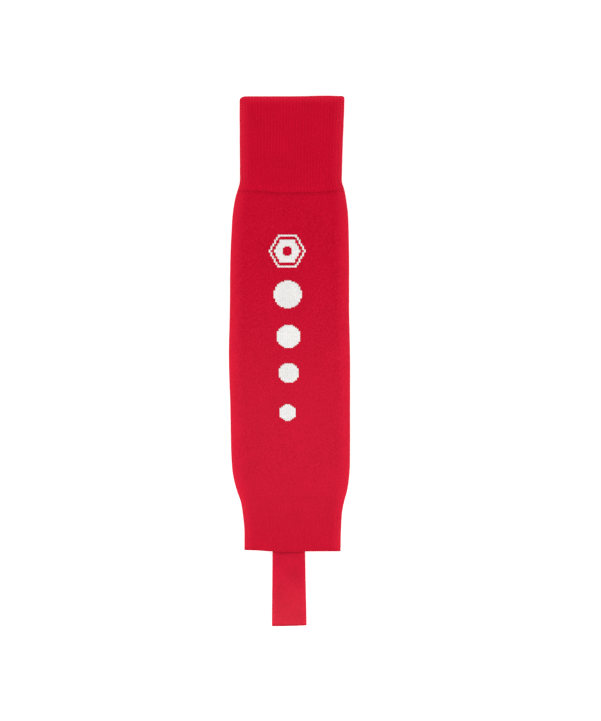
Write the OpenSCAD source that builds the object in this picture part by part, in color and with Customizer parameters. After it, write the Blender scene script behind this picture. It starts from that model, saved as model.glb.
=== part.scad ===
// Footless sports sock (stirrup sleeve), lying flat on its back.
// X runs across it, Y runs from the stirrup to the cuff, Z points up out of its front.
// The origin is the middle of the whole outline, on the surface that the sleeve lies on.

/* [Sleeve] */
// Length of the knitted sleeve, from the hem to the top of the cuff
sleeve_len = 350; // [300:0.5:400]
// Width of the leg where it is widest, laid flat
leg_w = 93; // [80:1:110]
// Height of the leg as it lies, both layers and the air between them
leg_h = 11; // [10:0.1:14]
// Thickness of the plain knit
knit_t = 1.3; // [1:0.1:1.5]

/* [Cuff] */
// Length of the ribbed, doubled cuff
cuff_len = 72.5; // [60:0.5:75]
// How much higher the doubled cuff lies than the leg
cuff_rise = 1; // [0.5:0.1:2]
// Thickness of each of the two rib layers
rib_t = 1.2; // [1:0.1:1.4]
// Diameter of an elastic thread
elastic_d = 0.4; // [0.3:0.05:0.45]
// Number of elastic threads in the cuff
cuff_threads = 24; // [8:1:30]

/* [Ankle] */
// Length of the ribbed ankle
ankle_len = 42; // [36:0.5:44]
// Number of elastic threads in the ankle
ankle_threads = 8; // [4:1:9]
// Thickness of the overlock stitching on the hem
overlock_t = 0.3; // [0.2:0.05:0.4]
// Height of the overlock stitching on the hem
overlock_h = 3.6; // [3:0.1:5]

/* [Stirrup] */
// Length of the strap below the hem
strap_drop = 57; // [50:0.5:70]
// Width of the strap at the hem
strap_w = 24.6; // [22:0.1:28]
// Width of the strap at its fold
strap_fold_w = 26.3; // [22:0.1:30]
// Thickness of the strap
strap_t = 1.2; // [1:0.1:1.4]
// Height of the strap's fold as it lies
strap_fold_h = 7; // [6.6:0.1:7.4]
// Length of each strap end that is sewn inside the ankle
tab_len = 20; // [14:1:22]

/* [Knitted motifs] */
// Depth of the white knit in the front layer
motif_t = 0.7; // [0.5:0.05:0.8]
// Width of the hexagon badge across its flats
badge_w = 25; // [20:1:28]
// Diameters of the four dots, from the top one down
dot_d = [21.4, 18.1, 15.2, 12.8]; // [12:0.1:24]
// Diameter of a float of white yarn behind a motif
float_d = 0.3; // [0.2:0.05:0.35]

/* [Hidden] */

RED = [0.78, 0.06, 0.18];
DARK_RED = [0.6, 0.04, 0.13];
WHITE = [0.93, 0.92, 0.9];
ELASTIC = [0.86, 0.82, 0.78];

// Places along Y
total_len = sleeve_len + strap_drop;
top_y = total_len / 2;
hem_y = top_y - sleeve_len;
cuff_y = top_y - cuff_len;
ankle_y = hem_y + ankle_len;
fold_y = hem_y - strap_drop;
// The cuff's wall is two layers with the elastic threads between them, clear of both
thread_in = 0.12;
thread_gap = elastic_d + 0.2;
cuff_wall = 2 * rib_t + thread_gap;
// The leg's ends change height over this length, to meet the cuff and the ankle
ease_len = 10;
// Spacing of a tube's rows where the outline bends and where it is nearly straight
bend_pitch = 2.5;
plain_pitch = 12;
// Lengths of the bent stretches at the leg's two ends and at the cuff's base
ankle_bend = 37;
shoulder_bend = 32;
waist_bend = 16;
// How far apart two touching surfaces are kept, and how far a cut runs past a face
clear = 0.02;
past = 1;
// The outline laid flat: share of the sleeve's length above the hem,
// then the left and right edges as shares of half the leg's width
OUTLINE = [
    [0, 0.742, 0.843], [0.046, 0.742, 0.849], [0.083, 0.768, 0.865], [0.109, 0.802, 0.899],
    [0.136, 0.871, 0.955], [0.171, 0.933, 0.989], [0.214, 0.959, 0.999], [0.32, 0.976, 1],
    [0.425, 1, 1], [0.531, 0.985, 0.985], [0.638, 0.976, 0.985], [0.707, 0.953, 0.976],
    [0.742, 0.935, 0.966], [0.776, 0.895, 0.933], [0.796, 0.852, 0.903], [0.813, 0.817, 0.865],
    [0.831, 0.815, 0.865], [0.901, 0.819, 0.88], [0.987, 0.822, 0.907], [1, 0.82, 0.905]
];
LEFT = 1;
RIGHT = 2;
// Segments of each rounded side of the sleeve
SIDE_SEGMENTS = 12;
// The motifs: their middle, and the pocket that they fill in the front layer
motif_x = -1.2;
motif_z = leg_h - motif_t;
badge_y = 85;
dot_y = [51.2, 19.1, -9.4, -39.1];
// The badge is a thin hexagon line round a thicker hexagon ring
badge_rings = [[1, 0.88], [0.72, 0.3]];
float_pitch = 2;
float_tail = 5;
// The strap's tapes lie against the inside of the two layers at the hem
ankle_z0 = overlock_t;
ankle_z1 = leg_h - overlock_t;
back_run_z = ankle_z0 + knit_t + strap_t / 2;
front_run_z = ankle_z1 - knit_t - strap_t / 2;
strap_x = -0.5;
fold_r = (strap_fold_h - strap_t) / 2;
// The strap bends at the hem about this axis, and its free part starts there
flex_len = 6.5;
hinge_y = hem_y - flex_len;
// Where the back run comes down to the surface, and the segments of the fold's half circle
touch_y = hinge_y - 11;
FOLD_SEGMENTS = 16;
// Stitches that hold the strap ends: a row near each end of the tab
stitch_r = 0.2;
stitch_len = 2;
stitch_count = 9;
stitch_margin = 3;

// Smooth step from 0 to 1
function smooth(t) = let (c = max(0, min(1, t))) c * c * (3 - 2 * c);

// Slope of the outline at row i, from its neighbours
function slope(i, side) =
    let (a = max(0, i - 1), b = min(len(OUTLINE) - 1, i + 1))
    (OUTLINE[b][side] - OUTLINE[a][side]) / (OUTLINE[b][0] - OUTLINE[a][0]);

// The outline's edge at share s, as a cubic curve through its rows
function edge(s, side) =
    let (
        i = min(len(OUTLINE) - 2, len([for (row = OUTLINE) if (row[0] < s) 1]) - 1),
        k = max(0, i),
        step = OUTLINE[k + 1][0] - OUTLINE[k][0],
        t = (s - OUTLINE[k][0]) / step
    )
    (1 + 2 * t) * (1 - t) * (1 - t) * OUTLINE[k][side]
    + t * (1 - t) * (1 - t) * step * slope(k, side)
    + t * t * (3 - 2 * t) * OUTLINE[k + 1][side]
    + t * t * (t - 1) * step * slope(k + 1, side);

function share(y) = max(0, min(1, (y - hem_y) / sleeve_len));
function left_x(y) = -edge(share(y), LEFT) * leg_w / 2;
function right_x(y) = edge(share(y), RIGHT) * leg_w / 2;
// Height of the sleeve's underside and of its front above the surface it lies on
function under_z(y) = ankle_z0 * (1 - smooth((y - ankle_y) / ease_len));
function front_z(y) =
    leg_h - overlock_t * (1 - smooth((y - ankle_y) / ease_len))
    + cuff_rise * smooth((y - cuff_y + ease_len) / ease_len);

// Section of the sleeve at y, drawn in by inset: straight layers and two half-round sides
function section(y, inset) =
    let (
        z0 = under_z(y) + inset,
        z1 = front_z(y) - inset,
        r = (z1 - z0) / 2,
        a = left_x(y) + inset + r,
        b = right_x(y) - inset - r
    )
    concat(
        [for (i = [0:SIDE_SEGMENTS]) let (q = -90 + 180 * i / SIDE_SEGMENTS)
            [b + r * cos(q), y, z0 + r + r * sin(q)]],
        [for (i = [0:SIDE_SEGMENTS]) let (q = 90 + 180 * i / SIDE_SEGMENTS)
            [a + r * cos(q), y, z0 + r + r * sin(q)]]
    );

// A tube of knit. Each row of the profile is [y, outer inset, inner inset]
module tube(profile) {
    n = 2 * (SIDE_SEGMENTS + 1);
    count = len(profile);
    outer = [for (row = profile) each section(row[0], row[1])];
    inner = [for (row = profile) each section(row[0], row[2])];
    skin = count * n;
    last = (count - 1) * n;
    polyhedron(
        points = concat(outer, inner),
        faces = concat(
            [for (k = [0:count - 2], j = [0:n - 1]) let (m = (j + 1) % n)
                each [[k * n + j, k * n + n + j, k * n + n + m], [k * n + j, k * n + n + m, k * n + m]]],
            [for (k = [0:count - 2], j = [0:n - 1]) let (m = (j + 1) % n, p = skin + k * n)
                each [[p + j, p + n + m, p + n + j], [p + j, p + m, p + n + m]]],
            [for (j = [0:n - 1]) let (m = (j + 1) % n)
                each [[j, m, skin + m], [j, skin + m, skin + j]]],
            [for (j = [0:n - 1]) let (m = (j + 1) % n)
                each [[last + j, skin + last + m, last + m], [last + j, skin + last + j, skin + last + m]]]
        )
    );
}

// Rows of a tube's profile from one place up to just below another, with the same insets
function rows(from_y, to_y, pitch, outer, inner) =
    let (count = ceil((to_y - from_y) / pitch))
    [for (i = [0:count - 1]) [from_y + (to_y - from_y) * i / count, outer, inner]];

// A flat oval, from x0 to x1 and z0 to z1, as thick as len along Y from y
module oval(y, x0, x1, z0, z1, len) {
    r = (z1 - z0) / 2;
    translate([0, y + len, z0 + r]) rotate([90, 0, 0]) linear_extrude(height = len) union() {
        translate([x0 + r, -r]) square([x1 - x0 - 2 * r, 2 * r]);
        for (x = [x0 + r, x1 - r]) translate([x, 0]) circle(r = r, $fn = 48);
    }
}

// One elastic thread round the sleeve at y, between two insets
module elastic_ring(y, outer, inner) {
    difference() {
        oval(y, left_x(y) + outer, right_x(y) - outer, under_z(y) + outer, front_z(y) - outer, elastic_d);
        oval(
            y - past, left_x(y) + inner, right_x(y) - inner, under_z(y) + inner, front_z(y) - inner,
            elastic_d + 2 * past
        );
    }
}

// Outer rib layer of the cuff, turned over at the top edge
module cuff_outer() {
    turn = cuff_wall / 2;
    rim = 0.1;
    lip_y = top_y - turn;
    color(RED) tube(concat(
        rows(cuff_y, cuff_y + waist_bend, bend_pitch, 0, rib_t),
        rows(cuff_y + waist_bend, lip_y, plain_pitch, 0, rib_t),
        [[lip_y, 0, rib_t], [lip_y, 0, cuff_wall]],
        [for (q = [30, 60, 90]) let (in = (turn - rim) * (1 - cos(q)))
            [lip_y + turn * sin(q), in, cuff_wall - in]]
    ));
}

// Inner rib layer of the cuff, linked to the outer one at its base
module cuff_inner() {
    foot = rows(cuff_y, cuff_y + waist_bend, bend_pitch, 0, 0)[1][0];
    lip_y = top_y - cuff_wall / 2;
    out = rib_t + thread_gap;
    color(DARK_RED) tube(concat(
        [[cuff_y, rib_t, cuff_wall], [foot, rib_t, cuff_wall]],
        rows(foot, cuff_y + waist_bend, bend_pitch, out, cuff_wall),
        rows(cuff_y + waist_bend, lip_y, plain_pitch, out, cuff_wall),
        [[lip_y, out, cuff_wall]]
    ));
}

module cuff_elastic_threads() {
    margin = 8;
    pitch = (cuff_len - 2 * margin) / (cuff_threads - 1);
    color(ELASTIC) for (i = [0:cuff_threads - 1])
        elastic_ring(cuff_y + margin + i * pitch, rib_t + thread_in, rib_t + thread_in + elastic_d);
}

// Plain knit between the cuff and the ankle, with a pocket for each white motif
module leg_tube() {
    color(RED) difference() {
        tube(concat(
            rows(ankle_y, ankle_y + ankle_bend, bend_pitch, 0, knit_t),
            rows(ankle_y + ankle_bend, cuff_y - shoulder_bend, plain_pitch, 0, knit_t),
            rows(cuff_y - shoulder_bend, cuff_y, bend_pitch, 0, knit_t),
            [[cuff_y, 0, knit_t]]
        ));
        motif_pocket() badge_outline();
        for (i = [0:3]) motif_pocket() translate([motif_x, dot_y[i]]) circle(d = dot_d[i], $fn = 64);
    }
}

// Cuts down from above the front layer to the floor of the pocket
module motif_pocket() {
    translate([0, 0, motif_z]) linear_extrude(height = motif_t + past) children();
}

module ankle_rib() {
    color(RED) tube(concat(rows(hem_y, ankle_y, bend_pitch, 0, knit_t), [[ankle_y, 0, knit_t]]));
}

// The ankle's threads lie inside its rib, above the strap ends
module ankle_elastic_threads() {
    margin = 2;
    pitch = (ankle_len - tab_len - 2 * margin) / (ankle_threads - 1);
    inset = knit_t + thread_in;
    color(ELASTIC) for (i = [0:ankle_threads - 1])
        elastic_ring(hem_y + tab_len + margin + i * pitch, inset, inset + elastic_d);
}

// Overlock thread round the raw edge: a band on the outside that turns under the edge
module hem_overlock() {
    y = hem_y - overlock_t;
    color(DARK_RED) difference() {
        oval(
            y, left_x(hem_y) - overlock_t, right_x(hem_y) + overlock_t, 0, leg_h,
            overlock_h + overlock_t
        );
        oval(
            hem_y, left_x(hem_y) - clear, right_x(hem_y + overlock_h) + clear, ankle_z0 - clear,
            ankle_z1 + clear, overlock_h + past
        );
        oval(
            y - past, left_x(hem_y) + knit_t, right_x(hem_y) - knit_t, ankle_z0 + knit_t,
            ankle_z1 - knit_t, overlock_t + 2 * past
        );
    }
}

// Plan of the strap, a little wider at its fold, from y0 to y1
module strap_plan(y0, y1) {
    function half(y) = (strap_w + (strap_fold_w - strap_w) * (hem_y - min(y, hem_y)) / strap_drop) / 2;
    polygon([
        [strap_x - half(y0), y0], [strap_x + half(y0), y0],
        [strap_x + half(y1), y1], [strap_x - half(y1), y1]
    ]);
}

// Side view of the free loop: two runs of tape that meet in a round fold at the end
module loop_side() {
    fold_mid = [fold_y + strap_fold_h / 2, strap_fold_h / 2];
    function arc(r) = [for (i = [0:FOLD_SEGMENTS]) let (q = 90 + 180 * i / FOLD_SEGMENTS)
        [fold_mid[0] + r * cos(q), fold_mid[1] + r * sin(q)]];
    half = strap_t / 2;
    polygon(concat(
        [[hinge_y, front_run_z + half]],
        arc(fold_r + half),
        [[touch_y, 0], [hinge_y, back_run_z - half], [hinge_y, back_run_z + half], [touch_y, strap_t]],
        [for (i = [FOLD_SEGMENTS:-1:0]) arc(fold_r - half)[i]],
        [[hinge_y, front_run_z - half]]
    ));
}

module stirrup_loop() {
    color(RED) intersection() {
        rotate([90, 0, 90]) translate([0, 0, -strap_fold_w]) linear_extrude(height = 2 * strap_fold_w)
            loop_side();
        translate([0, 0, -past]) linear_extrude(height = leg_h + 2 * past)
            strap_plan(fold_y, hinge_y);
    }
}

// A straight piece of the strap, from y0 to y1, with its middle at height z
module tape(z, y0, y1) {
    translate([0, 0, z - strap_t / 2]) linear_extrude(height = strap_t) strap_plan(y0, y1);
}

// The part of both runs that bends when the loop swings
module stirrup_flex() {
    color(RED) for (z = [front_run_z, back_run_z])
        tape(z, hinge_y + clear, hem_y - clear);
}

module stirrup_front_tab() {
    color(RED) tape(front_run_z, hem_y, hem_y + tab_len);
}

module stirrup_back_tab() {
    color(RED) tape(back_run_z, hem_y, hem_y + tab_len);
}

// Two rows of short stitches across a strap end, centred at height z
module tab_stitching(z) {
    side_margin = 2;
    pitch = (strap_w - 2 * side_margin) / (stitch_count - 1);
    color(DARK_RED) for (row = [stitch_margin, tab_len - stitch_margin], i = [0:stitch_count - 1])
        translate([strap_x + (i - (stitch_count - 1) / 2) * pitch, hem_y + row + stitch_len / 2, z])
            rotate([90, 0, 0]) cylinder(h = stitch_len, r = stitch_r, $fn = 24);
}

module front_tab_stitching() {
    tab_stitching(front_run_z - strap_t / 2 - stitch_r - clear);
}

module back_tab_stitching() {
    tab_stitching(back_run_z + strap_t / 2 + stitch_r + clear);
}

module hexagon(width) {
    circle(d = width / cos(30), $fn = 6);
}

module badge_outline() {
    translate([motif_x, badge_y]) for (ring = badge_rings) difference() {
        hexagon(badge_w * ring[0]);
        hexagon(badge_w * ring[1]);
    }
}

module badge() {
    color(WHITE) translate([0, 0, motif_z]) linear_extrude(height = motif_t) badge_outline();
}

module dot(i) {
    color(WHITE) translate([motif_x, dot_y[i], motif_z]) cylinder(h = motif_t, d = dot_d[i], $fn = 64);
}

module dot_large() {
    dot(0);
}

module dot_medium() {
    dot(1);
}

module dot_small() {
    dot(2);
}

module dot_smallest() {
    dot(3);
}

// Floats behind one motif: a thread every few courses, as long as the motif is wide there, with tails
module floats(y, d) {
    count = floor(d / float_pitch);
    z = leg_h - knit_t - float_d / 2 - clear;
    for (i = [0:count - 1]) {
        dy = (i - (count - 1) / 2) * float_pitch;
        reach = sqrt(d * d / 4 - dy * dy) + float_tail;
        translate([motif_x - reach, y + dy, z]) rotate([0, 90, 0])
            cylinder(h = 2 * reach, d = float_d, $fn = 24);
    }
}

module pattern_yarn_floats() {
    color(WHITE) {
        floats(badge_y, badge_w);
        for (i = [0:3]) floats(dot_y[i], dot_d[i]);
    }
}

cuff_outer();
cuff_inner();
cuff_elastic_threads();
leg_tube();
ankle_rib();
ankle_elastic_threads();
hem_overlock();
stirrup_loop();
stirrup_flex();
stirrup_front_tab();
stirrup_back_tab();
front_tab_stitching();
back_tab_stitching();
badge();
dot_large();
dot_medium();
dot_small();
dot_smallest();
pattern_yarn_floats();
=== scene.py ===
# %% [markdown]
# # A footless knitted sock, laid flat
#
# This lesson dresses a plain CAD frame as a red footless sports sock. The sock has a doubled
# rib cuff, a plain knitted leg with white marks, a ribbed ankle, and a strap of elastic tape
# that hangs from the hem. The frame has every part in its true place and size, so each new
# piece takes its place from the frame. All lengths are in metres. X runs across the sock,
# Y runs from the strap to the cuff, and Z points up out of the front.

import bpy
import numpy as np
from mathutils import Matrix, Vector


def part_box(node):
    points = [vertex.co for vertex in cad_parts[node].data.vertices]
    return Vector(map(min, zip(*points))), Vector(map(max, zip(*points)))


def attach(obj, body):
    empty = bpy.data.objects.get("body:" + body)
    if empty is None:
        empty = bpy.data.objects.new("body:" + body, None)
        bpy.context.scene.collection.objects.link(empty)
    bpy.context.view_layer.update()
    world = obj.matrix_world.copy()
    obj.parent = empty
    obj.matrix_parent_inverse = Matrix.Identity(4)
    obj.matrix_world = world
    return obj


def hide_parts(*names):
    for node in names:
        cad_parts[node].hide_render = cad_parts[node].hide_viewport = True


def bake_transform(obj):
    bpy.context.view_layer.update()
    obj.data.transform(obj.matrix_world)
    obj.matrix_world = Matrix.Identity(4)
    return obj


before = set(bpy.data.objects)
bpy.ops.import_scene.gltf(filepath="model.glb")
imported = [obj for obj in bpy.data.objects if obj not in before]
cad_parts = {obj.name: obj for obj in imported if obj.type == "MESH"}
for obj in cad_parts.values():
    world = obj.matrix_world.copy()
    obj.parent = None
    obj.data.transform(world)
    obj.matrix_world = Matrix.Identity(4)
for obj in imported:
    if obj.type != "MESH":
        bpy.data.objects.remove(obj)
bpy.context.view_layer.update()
MM = 0.001

# %% [markdown]
# ## The section at each place along the sock
#
# A knitted tube that lies flat has a section like a running track: two straight layers and two
# round sides. Four numbers say it all at each place: the left edge, the right edge, the
# underside and the top. We could type them in, but the frame already has them. Each ring of
# corners on its three tubes is one section, so we group the corners by their Y and keep the
# widest and the highest of each group. Small groups are the edges of pockets, so they go.

# %% Read the sections off the frame
def corners_of(node):
    """Every corner of a CAD node, one row each."""
    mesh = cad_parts[node].data
    flat = np.empty(len(mesh.vertices) * 3)
    mesh.vertices.foreach_get("co", flat)
    return flat.reshape(-1, 3)


def group_ends(values, group, count):
    """The lowest and the highest value in each group, column by column."""
    lowest = np.full((count, *values.shape[1:]), np.inf)
    highest = -lowest
    np.minimum.at(lowest, group, values)
    np.maximum.at(highest, group, values)
    return lowest, highest


HEM_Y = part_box("ankle_rib")[0].y
ANKLE_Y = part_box("leg_tube")[0].y
CUFF_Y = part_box("leg_tube")[1].y
LIP_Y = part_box("cuff_inner")[1].y
TOP_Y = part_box("cuff_outer")[1].y

tube = np.concatenate([corners_of(n) for n in ("ankle_rib", "leg_tube", "cuff_outer")])
tube = tube[tube[:, 1] < LIP_Y + 0.1 * MM]
places, group = np.unique(tube[:, 1].round(5), return_inverse=True)
lowest, highest = group_ends(tube, group, len(places))
LEAST_WIDTH = 60 * MM
whole = highest[:, 0] - lowest[:, 0] > LEAST_WIDTH
along = places[whole]
sections = np.column_stack([
    lowest[whole, 0], highest[whole, 0], lowest[whole, 2], highest[whole, 2]
])
print(len(along), "sections from", along[0].round(4), "to", along[-1].round(4))

# %% [markdown]
# Between two sections we need a smooth curve, because straight stretches would show as flat
# bands in the light. A cubic through the values, with each slope taken from the neighbours,
# passes through every section and has no corners.

# %% A smooth curve through the sections
def smooth_step(t):
    """0 below 0, 1 above 1, and three t squared less two t cubed between."""
    t = np.clip(t, 0, 1)
    return t * t * (3 - 2 * t)


def smooth_through(at, places, values):
    """A cubic curve through the values. Each stretch leaves and arrives with the slope that
    its neighbours give."""
    slopes = np.gradient(values, places, axis=0)
    at = np.clip(at, places[0], places[-1])
    k = np.clip(np.searchsorted(places, at) - 1, 0, len(places) - 2)
    gap = (places[k + 1] - places[k])[..., None]
    t = (at - places[k])[..., None] / gap
    leave = (1 + 2 * t) * (1 - t) ** 2 * values[k] + t * (1 - t) ** 2 * gap * slopes[k]
    arrive = t * t * (3 - 2 * t) * values[k + 1] + t * t * (t - 1) * gap * slopes[k + 1]
    return leave + arrive


def on_section(turn, y, depth):
    """A point of the section at y. The turn goes from 0 at the middle of the back, round the
    right side, across the front and round the left side to 1. The point is a spine point plus
    an arm that swings from straight down, through a whole circle; the spine moves along the
    straight layers while the arm rests. Depth shortens the arm, so layers stay parallel."""
    turn, y, depth = np.broadcast_arrays(turn, y, depth)
    left, right, under, top = np.moveaxis(smooth_through(y, along, sections), -1, 0)
    r = (top - under) / 2
    straight = (right - left) / 2 - r
    way = turn * (4 * straight + 2 * np.pi * r)
    arc = np.pi * r
    out = np.clip(way, 0, straight)
    back = np.clip(way - straight - arc, 0, 2 * straight)
    home = np.clip(way - 3 * straight - 2 * arc, 0, straight)
    swing = np.clip(way - straight, 0, arc) + np.clip(way - 3 * straight - arc, 0, arc)
    swing = swing / r
    x = (left + right) / 2 + out - back + home + (r - depth) * np.sin(swing)
    z = under + r - (r - depth) * np.cos(swing)
    return np.stack([x, y, z], -1), swing


def turn_on_front(x, y):
    """The turn of a place on the front: half a turn at the middle, less towards the right."""
    left, right, under, top = np.moveaxis(smooth_through(y, along, sections), -1, 0)
    r = (top - under) / 2
    round_it = 4 * ((right - left) / 2 - r) + 2 * np.pi * r
    return 0.5 - (x - (left + right) / 2) / round_it


middle = (HEM_Y + TOP_Y) / 2
ring, _ = on_section(np.linspace(0, 1, 400), np.full(400, middle), 0)
GIRTH = np.linalg.norm(np.diff(ring, axis=0), axis=1).sum()
print("girth of the leg at its middle:", round(GIRTH, 4), "m")

# %% [markdown]
# ## How the cloth settles
#
# A real sock doesn't lie as a perfect racetrack. The front layer sags between the springy
# sides, and it sags more on the plain leg than on the stiff cuff. A cloth simulation gives
# that for free. We use a coarse tube, because only the broad shape matters, and ten times
# real size, because cloth in Blender is steadier at that scale. The back lies on the floor, so
# it is pinned, and so are the hem, which the strap holds, and the rim of the cuff. The result
# isn't kept as a mesh. Its moves are fitted with a few smooth waves instead, which can be
# asked for at any point, so every layer, thread and stitch can move by the same amount.

# %% Waves that describe a soft, broad shape
AROUND = 6
ALONG = 9


def waves(turn, y):
    """Values of every wave at each point: sines and cosines round the section, each times a
    cosine along the sock."""
    turn, y = np.broadcast_arrays(turn, y)
    far = (y - HEM_Y) / (TOP_Y - HEM_Y)
    m = np.arange(1, AROUND)
    angle = 2 * np.pi * turn[..., None] * m
    round_it = np.concatenate([np.ones_like(angle[..., :1]), np.cos(angle), np.sin(angle)], -1)
    along_it = np.cos(np.pi * far[..., None] * np.arange(ALONG))
    both = round_it[..., :, None] * along_it[..., None, :]
    return both.reshape(*turn.shape, -1)


def freedom(swing, y):
    """How free the cloth is to move: 0 where it rests on the floor and where the hem and the
    strap hold it, 1 on the front of the leg, and about half on the stiff cuff."""
    lift = swing / np.pi
    off_floor = smooth_step((lift - 0.35) / 0.4) * smooth_step((1.65 - lift) / 0.4)
    off_hem = smooth_step((y - HEM_Y - 24 * MM) / (40 * MM))
    cuff = 1 - 0.55 * smooth_step((y - CUFF_Y + 12 * MM) / (24 * MM))
    return off_floor * off_hem * cuff


# %% Let a coarse tube settle
TIMES = 10
SAG = 1.7 * MM
MID_WALL = 0.65 * MM
LAST_STEP = 16


def put_in_scene(name, data):
    """A new object at the origin, for a mesh, a light or a camera."""
    thing = bpy.data.objects.new(name, data)
    bpy.context.scene.collection.objects.link(thing)
    return thing


def settle_cage():
    """Runs the cloth simulation on a coarse tube and returns where its points started, in turn
    and y, and how far each one moved."""
    columns, rows = 96, 72
    turn, y = np.meshgrid(np.arange(columns) / columns, np.linspace(HEM_Y, LIP_Y, rows))
    start, swing = on_section(turn, y, MID_WALL)
    uneven = 0.35 * MM * np.sin(7 * np.pi * turn + 1) * np.sin(55 * y + 0.7) * freedom(swing, y)
    start[..., 2] += uneven
    below = np.arange(rows - 1)[:, None] * columns
    c = np.arange(columns)
    d = (c + 1) % columns
    above = below + columns
    quads = np.stack([below + c, below + d, above + d, above + c], -1).reshape(-1, 4)
    mesh = bpy.data.meshes.new("settle_cage")
    mesh.from_pydata((start * TIMES).reshape(-1, 3).tolist(), [], quads.tolist())
    cage = put_in_scene("settle_cage", mesh)
    held = cage.vertex_groups.new(name="held")
    hold = 1 - freedom(swing, y)
    hold[-1] = 1
    for weight in np.unique(hold.round(1)):
        members = np.flatnonzero(hold.round(1).ravel() == weight)
        held.add(members.tolist(), float(weight), "REPLACE")
    cloth = cage.modifiers.new("cloth", "CLOTH")
    cloth.settings.quality = 6
    cloth.settings.mass = 0.25
    cloth.settings.tension_stiffness = 40
    cloth.settings.compression_stiffness = 40
    cloth.settings.shear_stiffness = 20
    cloth.settings.bending_stiffness = 6
    cloth.settings.vertex_group_mass = "held"
    cloth.collision_settings.use_collision = False
    cloth.point_cache.frame_start = 1
    cloth.point_cache.frame_end = LAST_STEP
    for step in range(1, LAST_STEP + 1):
        bpy.context.scene.frame_set(step)
    shown = cage.evaluated_get(bpy.context.evaluated_depsgraph_get()).data
    flat = np.empty(len(shown.vertices) * 3)
    shown.vertices.foreach_get("co", flat)
    moved = flat.reshape(rows, columns, 3) / TIMES - start
    moved[..., 2] += uneven
    bpy.context.scene.frame_set(1)
    bpy.data.objects.remove(cage)
    bpy.data.meshes.remove(mesh)
    return turn, y, moved


turn, y, moved = settle_cage()
print("largest move of the cage:", (np.abs(moved).max() / MM).round(2), "mm")

# %% [markdown]
# The fit is a least-squares one: it finds the amount of each wave that comes nearest to the
# moved cage. Then it is scaled so that the deepest sag is the one that we chose. A limit of
# this kind keeps a simulation from carrying the cloth away from the frame.

# %% Fit the waves to the settled cage
basis = waves(turn, y).reshape(-1, (2 * AROUND - 1) * ALONG)
keep_small = 1e-3 * np.eye(basis.shape[1]) * len(basis)
amounts = np.linalg.solve(basis.T @ basis + keep_small, basis.T @ moved.reshape(-1, 3))
deepest = max(np.abs((basis @ amounts)[:, 2]).max(), 1e-6)
amounts *= SAG / deepest


def hem_bow(x):
    """How far the hem leaves a straight line: the strap draws it down across the tape's width,
    and its left corner is pulled up a little."""
    left_rise = 1.4 * MM * smooth_step((-12 * MM - x) / (24 * MM))
    return 0.5 * MM + left_rise - 0.6 * MM * smooth_step((13.5 * MM - np.abs(x)) / (8 * MM))


def join_bow(x):
    """How far the join below the cuff leaves a straight line: it sags in the middle, and it
    wavers a little."""
    sag = 1.7 * MM * np.exp(-(((x - 4 * MM) / (26 * MM)) ** 2))
    return 0.1 * MM - sag + 0.25 * MM * np.sin(0.21 * x / MM)


def rim_wave(x):
    """How far the rim of the cuff leaves a straight line: a low swell near its right end,
    which keeps that corner sharp, and a rounder corner on the left."""
    swell = 0.5 * MM * np.exp(-(((x - 28 * MM) / (14 * MM)) ** 2))
    right_corner = 0.35 * MM * smooth_step((x - 38 * MM) / (3 * MM))
    left_corner = 0.9 * MM * smooth_step((-34.5 * MM - x) / (4 * MM))
    return swell + right_corner - left_corner - 0.05 * MM


def join_dent(turn, y):
    """How deep the join below the cuff sinks: a bell curve along the sock, wider on the side
    of the cuff. It fades out at the sides, where the knit is stretched over the fold."""
    from_side = np.abs(turn % 0.5 - 0.25)
    flatness = smooth_step((from_side - 0.01) / 0.06)
    past = y - CUFF_Y - 0.7 * MM
    width = np.where(past > 0, 2.4 * MM, 2.0 * MM)
    return 1.25 * MM * flatness * np.exp(-((past / width) ** 2))


FOLD_SWELL = 0.35 * MM


def lay(turn, y, depth):
    """Where a point of the sock lies. It is the point on the plain section, sunk by the join's
    dent and swelled at the side folds, where the knit is doubled back. Then it is moved by the
    fitted waves as far as the cloth is free there, and shifted along the sock by the bows of
    the hem, the join and the rim."""
    point, swing = on_section(turn, y, depth + join_dent(turn, y))
    point[..., 0] += FOLD_SWELL * np.sin(swing)
    flat = (waves(turn, y) @ amounts) * freedom(swing, point[..., 1])[..., None]
    point = point + flat
    front = 0.65 - 0.35 * np.cos(swing)
    near_hem = 1 - smooth_step((y - HEM_Y) / (26 * MM))
    near_join = np.exp(-(((y - CUFF_Y) / (9 * MM)) ** 2))
    near_rim = smooth_step((y - TOP_Y + 22 * MM) / (22 * MM))
    x = point[..., 0]
    point[..., 1] += near_hem * front * hem_bow(x) + near_join * front * join_bow(x)
    point[..., 1] += near_rim * rim_wave(x)
    return point


probe = lay(np.full(5, 0.5), np.linspace(HEM_Y, TOP_Y, 5), np.zeros(5))
print("height of the front down its middle, mm:", (probe[:, 2] / MM).round(2))

# %% [markdown]
# ## The surface of the knit
#
# Two kinds of knit show on this sock. Plain knit has columns of V-shaped stitches, called
# wales, with a fine groove between two of them. In rib knit every second wale turns its back,
# so the ones that face us stand up as ridges. A sock machine with 144 needles makes 144 wales
# or 72 ribs. These ridges are real shape, so they are in the mesh: each wale has four columns
# of corners. The single stitches are finer than that, so they come later, in the material.

# %% Ribs and wales as a depth below the outer face
WALES = 144
RIBS = WALES // 2
COLUMNS = 4 * WALES
COURSE = 0.95 * MM
RIB_DEPTH = 0.42 * MM
WALE_DEPTH = 0.10 * MM
chance = np.random.default_rng(21)
WANDER = chance.uniform(0, 2 * np.pi, (5, 3))


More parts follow.
